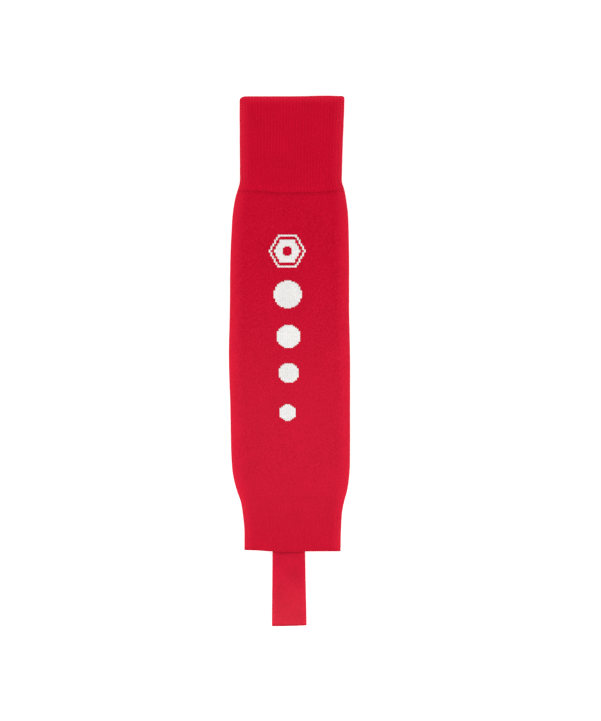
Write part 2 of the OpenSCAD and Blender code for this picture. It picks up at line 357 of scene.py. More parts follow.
def unevenness(turn, y):
    """A slow, irregular value from about -1 to 1: five pairs of sines that don't repeat in
    step. It makes the ribs wander and the thickness vary, as hand and wash leave them."""
    total = 0
    for i, (a, b, c) in enumerate(WANDER):
        round_it = np.sin(2 * np.pi * (3 + 2 * i) * turn + a + 2 * np.sin(70 * y + b))
        total = total + round_it * np.sin((90 + 75 * i) * y + c)
    return total / 2.5


def knit_depth(turn, y):
    """Depth of the knit's face below a smooth skin. A rib is a cosine, deep on the cuff, less
    so on the ankle, and fading into the leg. A wale is the arch of a sine."""
    slow = unevenness(turn, y)
    on_cuff = smooth_step((y - CUFF_Y) / (2.5 * MM))
    on_ankle = 1 - smooth_step((y - ANKLE_Y + 12 * MM) / (26 * MM))
    amount = on_cuff * (0.9 + 0.25 * slow) + 0.75 * on_ankle
    ridge = 0.5 + 0.5 * np.cos(2 * np.pi * (RIBS * turn - 0.25) + 0.35 * slow)
    rib = RIB_DEPTH * amount * (1 - ridge ** 0.8)
    wale = WALE_DEPTH * (1 - np.abs(np.sin(np.pi * WALES * turn)))
    return rib + wale + 0.05 * MM * (1 + slow)


print("stitch on the leg:", (GIRTH / WALES / MM).round(2), "by", COURSE / MM, "mm")

# %% [markdown]
# ## From a grid of points to a mesh
#
# Every knitted piece is a closed wall: a line that goes up the outer face, over an edge, down
# the inner face and back to where it began, carried all the way round the section. That makes
# a grid that is closed in both directions, with no seams or holes to mend. One helper turns
# such a grid into a mesh, and a map named "stitches" says which wale and course each corner
# is in. Materials read that map, so the stitches follow the cloth.

# %% Make a mesh from a grid
def grid_quads(rows, columns, close_rows, close_columns):
    """Corner numbers of a grid's faces, wound so that they face out of a tube that is given as
    rings: each face takes a corner, the one above, the one above its neighbour, and the
    neighbour."""
    r = np.arange(rows if close_rows else rows - 1)[:, None]
    c = np.arange(columns if close_columns else columns - 1)[None, :]
    up = (r + 1) % rows
    side = (c + 1) % columns
    quads = [r * columns + c, up * columns + c, up * columns + side, r * columns + side]
    return np.stack(quads, -1).reshape(-1, 4)


def grid_map(u, v):
    """The map of the same faces. u and v are the values at the grid lines, and each has one
    value more than the faces along it."""
    low_u, low_v = np.meshgrid(u[:-1], v[:-1])
    high_u, high_v = np.meshgrid(u[1:], v[1:])
    pairs = [(low_u, low_v), (low_u, high_v), (high_u, high_v), (high_u, low_v)]
    return np.stack([np.stack(p, -1) for p in pairs], 2).reshape(-1, 4, 2)


def make_piece(name, points, quads, stitch_map):
    """A smooth mesh object from an array of points, four corner numbers for each face, and a
    pair of map values for each corner of each face."""
    mesh = bpy.data.meshes.new(name)
    mesh.vertices.add(len(points))
    mesh.vertices.foreach_set("co", points.astype(np.float32).ravel())
    mesh.loops.add(quads.size)
    mesh.loops.foreach_set("vertex_index", quads.astype(np.int32).ravel())
    mesh.polygons.add(len(quads))
    mesh.polygons.foreach_set("loop_start", np.arange(0, quads.size, 4, dtype=np.int32))
    mesh.polygons.foreach_set("use_smooth", np.ones(len(quads), dtype=bool))
    layer = mesh.uv_layers.new(name="stitches")
    layer.data.foreach_set("uv", stitch_map.astype(np.float32).ravel())
    mesh.update(calc_edges=True)
    mesh.validate()
    piece = put_in_scene(name, mesh)
    a, b, c, d = (points[quads[:, k]] for k in range(4))
    volume = (np.cross(a, b) * c + np.cross(a, c) * d).sum() / 6
    print(f"{name}: {len(quads)} faces, {volume * 1e9:.0f} cubic mm of yarn")
    return piece


# %% Carry a profile round the section
def stretch(start, end, step):
    """Evenly spaced values from start to just before end, about a step apart."""
    count = max(1, int(np.ceil(abs(end - start) / step)))
    return start + (end - start) * np.arange(count) / count


def face_rows(stops, depth, face, square=(True, True)):
    """Profile rows up or down one face: place, depth, and 1 outside or -1 inside. Each stop is
    a place and the spacing of the rows from it to the next stop. A square end gets a second
    row a hair away, which keeps the shading from rounding it off."""
    parts = [stretch(a, b, step) for (a, step), (b, _) in zip(stops, stops[1:])]
    y = np.append(np.concatenate(parts), stops[-1][0])
    hair = 0.08 * MM * np.sign(y[-1] - y[0])
    if square[0]:
        y = np.insert(y, 1, y[0] + hair)
    if square[1]:
        y = np.insert(y, -1, y[-1] - hair)
    return np.column_stack([y, np.full(len(y), depth), np.full(len(y), face)])


def roll_rows(y, near, far, outward, count, faces):
    """Profile rows over a round edge: half a circle from one depth to another, bulging
    outward along the sock, while the face value changes from one side to the other. The two
    ends of the half circle belong to the faces, so they are left out."""
    q = np.pi * np.arange(1, count) / count
    r = (far - near) / 2
    place = y + outward * np.abs(r) * np.sin(q)
    depth = near + r * (1 - np.cos(q))
    return np.column_stack([place, depth, faces[0] + (faces[1] - faces[0]) * q / np.pi])


def knit_wall(name, profile):
    """A closed wall of knit: the profile's rows at every column round the section. The face
    value says how much of the knit's relief a row takes, and from which side."""
    y, depth, face = profile.T
    turn = np.arange(COLUMNS) / COLUMNS
    relief = knit_depth(turn[None, :], y[:, None])
    points = lay(turn[None, :], y[:, None], depth[:, None] + face[:, None] * relief)
    quads = grid_quads(len(y), COLUMNS, True, True)
    loop = np.append(y, y[0]), np.append(depth, depth[0])
    step = np.hypot(np.diff(loop[0]), np.diff(loop[1]))
    course = (y[0] - ANKLE_Y) / COURSE + np.append(0, np.cumsum(step)) / COURSE
    wale = WALES * np.arange(COLUMNS + 1) / COLUMNS
    return make_piece(name, points.reshape(-1, 3), quads, grid_map(wale, course))


# %% [markdown]
# ## The leg, the ankle and the cuff
#
# The leg is a single wall, open at both ends. The ankle is the same, with a rounded raw edge
# at the hem. The cuff is one length of rib, folded over at the rim and linked to the leg at
# its base, so its profile goes up, over the rim, all the way down inside, and then back
# between its own two layers.

# %% Knit the three tubes
KNIT = 1.3 * MM
RIB = 1.2 * MM
WALL = 2 * (TOP_Y - LIP_Y)

leg = knit_wall("leg_plain_knit", np.concatenate([
    face_rows([(ANKLE_Y, 3.2 * MM), (CUFF_Y - 10 * MM, 0.6 * MM), (CUFF_Y, 0)], 0, 1,
              (True, False)),
    face_rows([(CUFF_Y, 2 * MM), (CUFF_Y - 10 * MM, 8 * MM), (ANKLE_Y, 0)], KNIT, -0.6),
]))
ankle = knit_wall("ankle_rib_knit", np.concatenate([
    face_rows([(HEM_Y + 0.5 * KNIT, 2 * MM), (ANKLE_Y, 0)], 0, 1, (False, True)),
    face_rows([(ANKLE_Y, 3 * MM), (HEM_Y + 0.5 * KNIT, 0)], KNIT, -0.6, (True, False)),
    roll_rows(HEM_Y + 0.5 * KNIT, KNIT, 0, -1, 5, (-0.6, 1)),
]))
cuff = knit_wall("cuff_rib_knit", np.concatenate([
    face_rows([(CUFF_Y, 0.6 * MM), (CUFF_Y + 7 * MM, 2.4 * MM), (LIP_Y, 0)], 0, 1, (False, False)),
    roll_rows(LIP_Y, 0, WALL, 1, 9, (1, -1)),
    face_rows([(LIP_Y, 3 * MM), (CUFF_Y, 0)], WALL, -1, (False, True)),
    face_rows([(CUFF_Y, 6 * MM), (LIP_Y, 0)], WALL - RIB, 0, (True, False)),
    roll_rows(LIP_Y, WALL - RIB, RIB, 1, 4, (0, 0)),
    face_rows([(LIP_Y, 6 * MM), (CUFF_Y, 0)], RIB, 0, (False, True)),
]))

# %% [markdown]
# ## Threads
#
# Much of what is left is thread: elastic, floats, overlock and seams. A thread is a circle
# carried along a line, and there may be many of one kind, so one helper makes them all at
# once. At each point it needs a direction across the thread, and a hint that never points
# along the line is enough to find one.

# %% Carry a circle along many lines at once
SIDES = 6


def sweep(lines, hint, radius, sides, closed=False):
    """Rings of points round each line. A ring lies across the line's direction, which is the
    difference of its neighbours; its first axis is the hint made square to that direction,
    and its second is square to both."""
    ahead = np.gradient(lines, axis=1)
    if closed:
        ahead = np.roll(lines, -1, 1) - np.roll(lines, 1, 1)
    ahead /= np.linalg.norm(ahead, axis=-1, keepdims=True)
    hint = np.broadcast_to(hint, lines.shape).astype(float)
    hint = hint / np.linalg.norm(hint, axis=-1, keepdims=True)
    first = hint - (hint * ahead).sum(-1, keepdims=True) * ahead
    first /= np.linalg.norm(first, axis=-1, keepdims=True)
    second = np.cross(ahead, first)
    q = 2 * np.pi * np.arange(sides) / sides
    radius = np.broadcast_to(radius, lines.shape[:2])[..., None, None]
    ring = np.cos(q)[:, None] * first[..., None, :] + np.sin(q)[:, None] * second[..., None, :]
    return lines[..., None, :] + radius * ring


def strand_quads(strands, rings, sides, closed):
    """Faces of many swept strands, with two faces to cap each end unless they are closed."""
    quads = grid_quads(rings, sides, closed, True)[:, ::-1]
    if not closed:
        ends = np.array([[0, 3, 2, 1], [0, 5, 4, 3]])
        last = (rings - 1) * sides
        quads = np.concatenate([quads, ends, ends[:, ::-1] + last])
    first = np.arange(strands)[:, None, None] * rings * sides
    return (quads[None] + first).reshape(-1, 4)


def strand_map(strands, rings, sides, closed, pitch):
    """Map of many swept strands: once round the thread, and its length in pitches."""
    rows = rings if closed else rings - 1
    one = grid_map(np.arange(sides + 1) / sides, np.arange(rows + 1) * pitch)[:, ::-1]
    if not closed:
        one = np.concatenate([one, np.zeros((4, 4, 2))])
    return np.tile(one, (strands, 1, 1))


def make_threads(name, lines, hint, radius, closed=False, pitch=1.0):
    """Many threads as one piece, each six-sided."""
    strands, rings = lines.shape[:2]
    points = sweep(lines, hint, radius, SIDES, closed)
    quads = strand_quads(strands, rings, SIDES, closed)
    thread_map = strand_map(strands, rings, SIDES, closed, pitch)
    return make_piece(name, points.reshape(-1, 3), quads, thread_map)


# %% [markdown]
# The cuff and the ankle hold on the limb by covered elastic threads, laid into the knit every
# few courses. On the cuff they hide between the two layers, and on the ankle they show inside.
# The frame has their number, so we count its rings by their place.

# %% Lay in the elastic
def ring_places(node):
    """The places along the sock of the separate rings of a CAD node."""
    y = np.unique(corners_of(node)[:, 1].round(5))
    return y[:-1][np.diff(y) < 0.6 * MM] + 0.2 * MM


def elastic_rings(name, node, depth):
    """Closed rings at the frame's places, a given depth below the outer face. The thread waves
    a little, because each needle pulls it up or down."""
    y = ring_places(node)[:, None]
    turn = np.arange(288)[None, :] / 288
    wavy = y + 0.12 * MM * np.sin(2 * np.pi * RIBS * turn)
    return make_threads(name, lay(turn, wavy, depth), (0, 1, 0), 0.2 * MM, True, 3.0)


cuff_elastic = elastic_rings("cuff_elastic_rings", "cuff_elastic_threads", WALL / 2)
ankle_elastic = elastic_rings("ankle_elastic_rings", "ankle_elastic_threads", KNIT + 0.3 * MM)

# %% [markdown]
# The raw edge of the hem is overlocked. The thread runs up the outer face for a few courses,
# crosses down to the edge, wraps it, and climbs inside, again and again. One loop is a short
# path in turn, place and depth, drawn through a few stations by the same cubic curve as
# before. All the loops follow one another as a single long thread.

# %% Overlock the hem
LOOPS = 96
HEM_THREAD = 0.11 * MM
stations = np.array([
    [0.00, 1.5, 0.06], [0.14, 1.0, 0.03], [0.26, 0.4, 0.03], [0.33, 0.02, 0.30],
    [0.38, -0.04, 1.00], [0.46, 0.6, 1.42], [0.60, 2.2, 1.42], [0.70, 2.7, 1.42],
    [0.78, 1.9, 1.42], [0.86, 0.6, 1.42], [0.91, -0.04, 1.00], [0.95, 0.4, 0.03],
])
later = stations[:3] + [1, 0, 0]
before = stations[-3:] - [1, 0, 0]
known = np.concatenate([before, stations, later])
share = np.arange(30) / 30
soft = smooth_through(share, known[:, 0], known[:, 1:])
loop = np.arange(LOOPS)[:, None]
hem_turn = ((loop + share) / LOOPS).ravel()
hem_y = np.tile(HEM_Y + soft[:, 0] * MM, LOOPS)
hem_depth = np.tile(soft[:, 1] * MM, LOOPS)
outside = hem_depth < 0.1 * MM
hem_depth = hem_depth + np.where(outside, 0.8 * knit_depth(hem_turn, hem_y), 0)
line = lay(hem_turn, hem_y, hem_depth)[None]
inward = lay(hem_turn, hem_y, hem_depth + 0.1 * MM)[None] - line
across = np.cross(np.roll(line, -1, 1) - np.roll(line, 1, 1), inward)
overlock = make_threads("hem_overlock_thread", line, across, HEM_THREAD, True, 2.0)

# %% [markdown]
# ## The white marks
#
# The marks aren't printed. They are knitted in with white yarn, so their edges step from
# stitch to stitch. We choose the stitches whose middle falls inside each mark, and give each
# one the two arms of its V. An arm is a short, plump strand, worked out in stitch space, where
# one wale and one course are the units, and then laid on the leg by the same function as
# everything else. A thin tile under each stitch keeps the red from showing between the arms.

# %% Choose the white stitches
STITCH_W = GIRTH / WALES
TIP = 0.35 * MM


def stitch_cells(x0, y0, reach, inside):
    """Wale and course numbers of the stitches whose middle is inside a mark round x0, y0. The
    mark is a whole number of stitches wide and tall. Where that number is odd, the mark's
    middle moves to the middle of the nearest stitch, and where it is even, to the nearest line
    between two, so opposite sides step alike. The test runs on a mark that is shorter by the
    tips of the arms, which reach past their stitch."""
    stitch = np.array([STITCH_W, COURSE])
    half_size = np.array([reach, reach - TIP])
    odd = np.round(2 * half_size / stitch) % 2
    home = np.array([turn_on_front(x0, np.array(y0)) * WALES, (y0 - ANKLE_Y) / COURSE])
    home = np.round(home - odd / 2) + odd / 2
    span = np.ceil(half_size / stitch) + 1
    wales, courses = (np.floor(h) + np.arange(-k, k + 1) for h, k in zip(home, span))
    wale, course = np.meshgrid(wales, courses)
    x = (home[0] - wale - 0.5) * STITCH_W
    y = (course + 0.5 - home[1]) * COURSE * reach / (reach - TIP)
    keep = inside(x, y)
    return wale[keep], course[keep]


def lay_stitches(wale, course, height):
    """Puts points given in wales, courses and metres of height on the front of the leg."""
    y = ANKLE_Y + course * COURSE
    return lay(wale / WALES, y, -height)


# %% Knit a white mark
ARM_RINGS = 5


def knit_mark(name, cells):
    """Two arms and a tile for each stitch. An arm starts low at the stitch's middle line, one
    course below it, swells as it climbs outward, and ends low beside the next wale, tucked
    under the stitch above. Its radius follows the root of a sine along it."""
    wale, course = cells
    t = np.linspace(0, 1, ARM_RINGS)
    side = np.array([-1, 1])[:, None]
    a = (0.13 + 0.21 * t) * side
    b = np.broadcast_to(-0.75 + 1.75 * t, a.shape)
    h = np.broadcast_to(-0.10 + 0.22 * np.sin(np.pi * t), a.shape)
    line = np.stack([a * STITCH_W, b * COURSE, h * MM], -1)
    plump = (0.10 + 0.23 * np.sin(np.pi * t) ** 0.6) * MM
    arm = sweep(line, (0, 0, 1), plump, SIDES)
    arm[..., 2] = 0.75 * arm[..., 2]
    arm = arm.reshape(1, -1, 3)
    home_w = (wale + 0.5)[:, None]
    home_c = (course + 0.5)[:, None]
    arm_w = home_w + arm[..., 0] / STITCH_W
    arm_c = home_c + arm[..., 1] / COURSE
    arms = lay_stitches(arm_w, arm_c, arm[..., 2])
    corner = np.array([[-1, -1], [1, -1], [1, 1], [-1, 1]]) * 0.5
    tile_w = home_w + np.tile(corner[:, 0], 2) * 0.98
    tile_c = home_c + np.tile(corner[:, 1], 2) * 0.98
    tile = lay_stitches(tile_w, tile_c, np.repeat([-0.5, 0.0], 4) * MM)
    box = np.array([
        [0, 1, 2, 3], [4, 7, 6, 5], [0, 4, 5, 1], [1, 5, 6, 2], [2, 6, 7, 3], [3, 7, 4, 0],
    ])
    count = len(wale)
    arm_quads = strand_quads(2 * count, ARM_RINGS, SIDES, False)
    tile_quads = box[None] + 8 * np.arange(count)[:, None, None] + 2 * count * ARM_RINGS * SIDES
    points = np.concatenate([arms.reshape(-1, 3), tile.reshape(-1, 3)])
    quads = np.concatenate([arm_quads, tile_quads.reshape(-1, 4)])
    arm_map = strand_map(2 * count, ARM_RINGS, SIDES, False, 0.4)
    tile_map = np.zeros((len(tile_quads) * 6, 4, 2))
    return make_piece(name, points, quads, np.concatenate([arm_map, tile_map]))


def centre_and_reach(node):
    """The middle of a CAD node seen from above, and half of its length along the sock."""
    low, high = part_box(node)
    return (low.x + high.x) / 2, (low.y + high.y) / 2, (high.y - low.y) / 2


marks = {}
for node in ("dot_large", "dot_medium", "dot_small", "dot_smallest"):
    x0, y0, reach = centre_and_reach(node)
    cells = stitch_cells(x0, y0, reach, lambda x, y: np.hypot(x, y) < reach)
    marks[node] = knit_mark(node + "_stitches", cells)
    print(node, len(cells[0]), "stitches")

# %% [markdown]
# The badge is a plain hexagon outline round a hexagon ring. Its test uses the distance to the
# nearest side of a hexagon, which is the largest of three straight-line distances. A hexagon
# reaches a sixth further at its corners than at its sides, so stitches are sought that far.

# %% Knit the badge
def hexagon_distance(x, y):
    """Distance from the middle, measured square to the nearest pair of sides."""
    slant = np.cos(np.pi / 6) * np.abs(x) + 0.5 * np.abs(y)
    return np.maximum(np.abs(y), slant)


def in_badge(x, y):
    """Inside the thin outline or inside the thick ring."""
    share = hexagon_distance(x, y) / badge_reach
    return ((share > 0.9) & (share < 1)) | ((share > 0.3) & (share < 0.72))


HEXAGON_TIP = 1.16
badge_x, badge_y, badge_reach = centre_and_reach("badge")
badge_cells = stitch_cells(badge_x, badge_y, HEXAGON_TIP * badge_reach, in_badge)
badge = knit_mark("badge_stitches", badge_cells)
print("badge", len(badge_cells[0]), "stitches")

# %% [markdown]
# Behind each mark the white yarn runs on inside the sock: it floats from one side of the mark
# to the other and ends in short cut tails. The floats are slack, so they bow and wave a
# little, each in its own way. The waves come from a seeded generator, so they never change.

# %% String the floats inside
def float_lines():
    """Lines for every float of the frame: straight across, bowed along the sock and away from
    the cloth, with loose tails that droop."""
    ends = corners_of("pattern_yarn_floats")
    rows, where = np.unique((ends[:, 1] / (0.5 * MM)).round(), return_inverse=True)
    level = np.bincount(where, ends[:, 1]) / np.bincount(where)
    tall = np.append(True, np.diff(level) > 0.8 * MM)
    which = np.cumsum(tall) - 1
    y = np.bincount(which, level) / np.bincount(which)
    left, right = group_ends(ends[:, 0], which[where], len(y))
    t = np.linspace(0, 1, 24)[None, :]
    bend = chance.uniform(-1, 1, (len(y), 4, 1))
    x = left[:, None] + (right - left)[:, None] * t
    tail = smooth_step(np.abs(2 * t - 1) * 4 - 3)
    sway = 0.35 * bend[:, 0] * np.sin(np.pi * t) + 1.1 * bend[:, 1] * tail
    sway = sway + 0.15 * np.sin(14 * t + 3 * bend[:, 2])
    drop = 0.35 + 0.25 * np.sin(np.pi * t) * np.abs(bend[:, 3]) + 0.9 * tail * np.abs(bend[:, 1])
    place = y[:, None] + sway * MM
    return lay(turn_on_front(x, place), place, KNIT + drop * MM)


floats = make_threads("white_yarn_floats", float_lines(), (0, 1, 0), 0.15 * MM, False, 1.5)

# %% [markdown]
# ## The stirrup strap
#
# The strap is one length of elastic tape. Its ends are sewn inside the front and the back of
# the hem, and it folds at the bottom. A profile carried along a path suits it well. The path
# is drawn in the side view from the frame's own heights, sampled evenly, and then smoothed, so
# that the fold is tight but not broken. Rows stand closer where the path bends, and where the
# joint will bend it. The profile is a flat band with round edges and fine lengthwise ribs on
# both faces.

# %% The strap's path in the side view
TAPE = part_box("stirrup_front_tab")[1].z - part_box("stirrup_front_tab")[0].z
front_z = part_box("stirrup_front_tab")[1].z - TAPE / 2
back_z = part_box("stirrup_back_tab")[1].z - TAPE / 2
TAB_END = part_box("stirrup_front_tab")[1].y
FOLD_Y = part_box("stirrup_loop")[0].y
HINGE_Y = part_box("stirrup_loop")[1].y
fold_top = 6.3 * MM
floor_z = TAPE / 2
route = np.array([
    [TAB_END, front_z], [HEM_Y + 4 * MM, front_z], [HEM_Y + 1.2 * MM, front_z - 1.1 * MM],
    [HEM_Y - 0.4 * MM, front_z - 0.6 * MM], [HEM_Y - 2.2 * MM, front_z - 0.3 * MM],
    [HINGE_Y, front_z - 0.5 * MM], [(HINGE_Y + FOLD_Y) / 2, 6.8 * MM],
    [FOLD_Y + 2.6 * MM, fold_top], [FOLD_Y + 0.4 * MM, 5.4 * MM],
    [FOLD_Y - 0.25 * MM, 3.4 * MM], [FOLD_Y + 0.4 * MM, 1.5 * MM], [FOLD_Y + 2.6 * MM, floor_z],
    [HINGE_Y - 11 * MM, floor_z], [HINGE_Y, back_z], [HEM_Y, back_z], [TAB_END, back_z],
])


def even_path(points, step, soft):
    """The same path with evenly spaced points, each then averaged with its neighbours by a
    bell curve whose width is soft, so its corners become round."""
    far = np.append(0, np.cumsum(np.linalg.norm(np.diff(points, axis=0), axis=1)))
    at = np.linspace(0, far[-1], int(far[-1] / step))
    fine = np.column_stack([np.interp(at, far, points[:, k]) for k in range(2)])
    reach = int(3 * soft / step)
    bell = np.exp(-0.5 * (np.arange(-reach, reach + 1) * step / soft) ** 2)
    ends = np.pad(fine, ((reach, reach), (0, 0)), mode="reflect", reflect_type="odd")
    return np.column_stack([np.convolve(ends[:, k], bell / bell.sum(), "valid") for k in range(2)])


SAMPLE = 0.25 * MM
ROW_STEP = 1.1 * MM
path = even_path(route, SAMPLE, 0.7 * MM)
spacing = np.append(0, np.cumsum(np.linalg.norm(np.diff(path, axis=0), axis=1)))
TAPE_LENGTH = spacing[-1]
bend = np.abs(np.gradient(np.unwrap(np.arctan2(*np.gradient(path, axis=0).T[::-1]))))
at_joint = np.exp(-((path[:, 0] - HINGE_Y) / (5.5 * MM)) ** 4)
density = (1 + 2 * at_joint) / ROW_STEP + bend / SAMPLE * 3
count_to = np.append(0, np.cumsum((density[1:] + density[:-1]) / 2 * np.diff(spacing)))
rows = int(count_to[-1])
at = np.interp(np.linspace(0, count_to[-1], rows), count_to, spacing)
path = np.column_stack([np.interp(at, spacing, path[:, k]) for k in range(2)])
print("tape:", round(TAPE_LENGTH, 4), "m long,", rows, "rows")

# %% The tape itself
TAPE_RIBS = 22
TAPE_RIDGE = 0.07 * MM
SQUARENESS = 40


def tape_points(path, at):
    """The band's profile at each row of the path. Across, the band goes from -1 to 1 and back
    on the other face; its thickness falls to nothing at the edges along a superellipse. The
    width grows a little towards the fold, the edges curl by a hair, and the fold lies slightly
    askew, as one made by hand does."""
    ahead = np.gradient(path, axis=0)
    ahead /= np.linalg.norm(ahead, axis=1, keepdims=True)
    out = np.column_stack([ahead[:, 1], -ahead[:, 0]])
    down = np.clip((HEM_Y - path[:, 0]) / (HEM_Y - FOLD_Y), 0, 1)
    low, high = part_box("stirrup_loop")
    half = (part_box("stirrup_front_tab")[1].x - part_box("stirrup_front_tab")[0].x) / 2
    half = half + ((high.x - low.x) / 2 - half) * down
    half = half + 0.25 * MM
    centre = (low.x + high.x) / 2 + 0.35 * MM * down
    columns = 4 * TAPE_RIBS
    s = np.linspace(-1, 1, columns + 1)
    face = np.concatenate([np.ones(columns + 1), -np.ones(columns - 1)])
    across = np.concatenate([s, s[-2:0:-1]])
    thick = (1 - np.abs(across) ** SQUARENESS) ** 0.5
    rib = TAPE_RIDGE * np.cos(2 * np.pi * TAPE_RIBS * (across + 1) / 2)
    lift = face * (thick * TAPE / 2 + thick * (rib - TAPE_RIDGE))
    x = centre[:, None] + half[:, None] * across[None, :]
    curl = 0.12 * MM * np.sin(60 * at / TAPE_LENGTH)[:, None] * across[None, :] ** 2
    free = smooth_step((HEM_Y - 4 * MM - path[:, 0]) / (20 * MM))[:, None]
    off = lift[None, :] + curl * free
    yz = path[:, None, :] + off[..., None] * out[:, None, :]
    yz[..., 0] += 0.35 * MM * (across - 0.2) * down[:, None] ** 4
    return np.concatenate([x[..., None], yz], -1)


points = tape_points(path, at)
rows, columns = points.shape[:2]
half = columns // 2
quads = grid_quads(rows, columns, False, True)
k = np.arange(half - 1)
cap = np.stack([k, k + 1, columns - 2 - k, columns - 1 - k], -1)
quads = np.concatenate([quads, cap, cap[:, ::-1] + (rows - 1) * columns])
rib_at = np.append(np.arange(columns), columns) / columns * 2 * TAPE_RIBS
tape_map = grid_map(rib_at, at / (0.8 * MM))
tape_map = np.concatenate([tape_map, np.zeros((2 * len(cap), 4, 2))])
tape = make_piece("stirrup_tape", points.reshape(-1, 3), quads, tape_map)

# %% [markdown]
# Two zigzag seams hold each end of the tape. A zigzag is a triangle wave across the tape,
# softened so that the thread turns instead of breaking, and it lies on the tape's free face.

# %% Sew the strap's ends
def zigzag(z, rows_y):
    """Lines of zigzag seams at a height: a triangle wave along the sock while the line
    crosses the tape."""
    low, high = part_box("stirrup_front_tab")
    t = np.linspace(0, 1, 161)
    x = low.x + 1.5 * MM + (high.x - low.x - 3 * MM) * t
    wave = 2 / np.pi * np.arcsin(0.97 * np.sin(2 * np.pi * 14 * t))
    lines = [np.column_stack([x, y + 1.0 * MM * wave, z + 0 * t]) for y in rows_y]
    return np.stack(lines)


seam_rows = (HEM_Y + 3 * MM, HEM_Y + 17 * MM)
front_seam = make_threads("front_tab_seam", zigzag(front_z - TAPE / 2 - 0.05 * MM, seam_rows),
                          (0, 0, 1), 0.16 * MM, False, 1.0)
back_seam = make_threads("back_tab_seam", zigzag(back_z + TAPE / 2 + 0.05 * MM, seam_rows),
                         (0, 0, 1), 0.16 * MM, False, 1.0)

# %% [markdown]
# ## The finish of the knit
#
# Seen close, knit is rows of V-shaped stitches with soft fibres over them; from further off it
# is a matt, slightly mottled red that glows at its edges. The material has both. The "stitches"
# map gives the wale and the course, so a fold of the wale about its middle and a slanted wave
# along the courses make the Vs. Two noises in object space make the yarn uneven, and sheen
# gives the glow of the fibres at the edges, helped by a painted highlight at the side folds and
# the rim. A ramp paints the light that is stronger towards the strap's end, and the hollows and
# rib valleys get painted shade. The same make-up serves the red and the white yarn.

# %% A clean start for each material
def blank_finish(name):
    """A new material, and the nodes and links of its empty tree."""
    finish = bpy.data.materials.new(name)
    finish.use_nodes = True
    finish.node_tree.nodes.clear()
    return finish, finish.node_tree.nodes, finish.node_tree.links


def arrange(groups):
    """Puts each node at its place in the node editor, inside the frame of its group."""
    for frame_node, members in groups:
        for node, x, y in members:
            node.location = (x, y)
            node.parent = frame_node


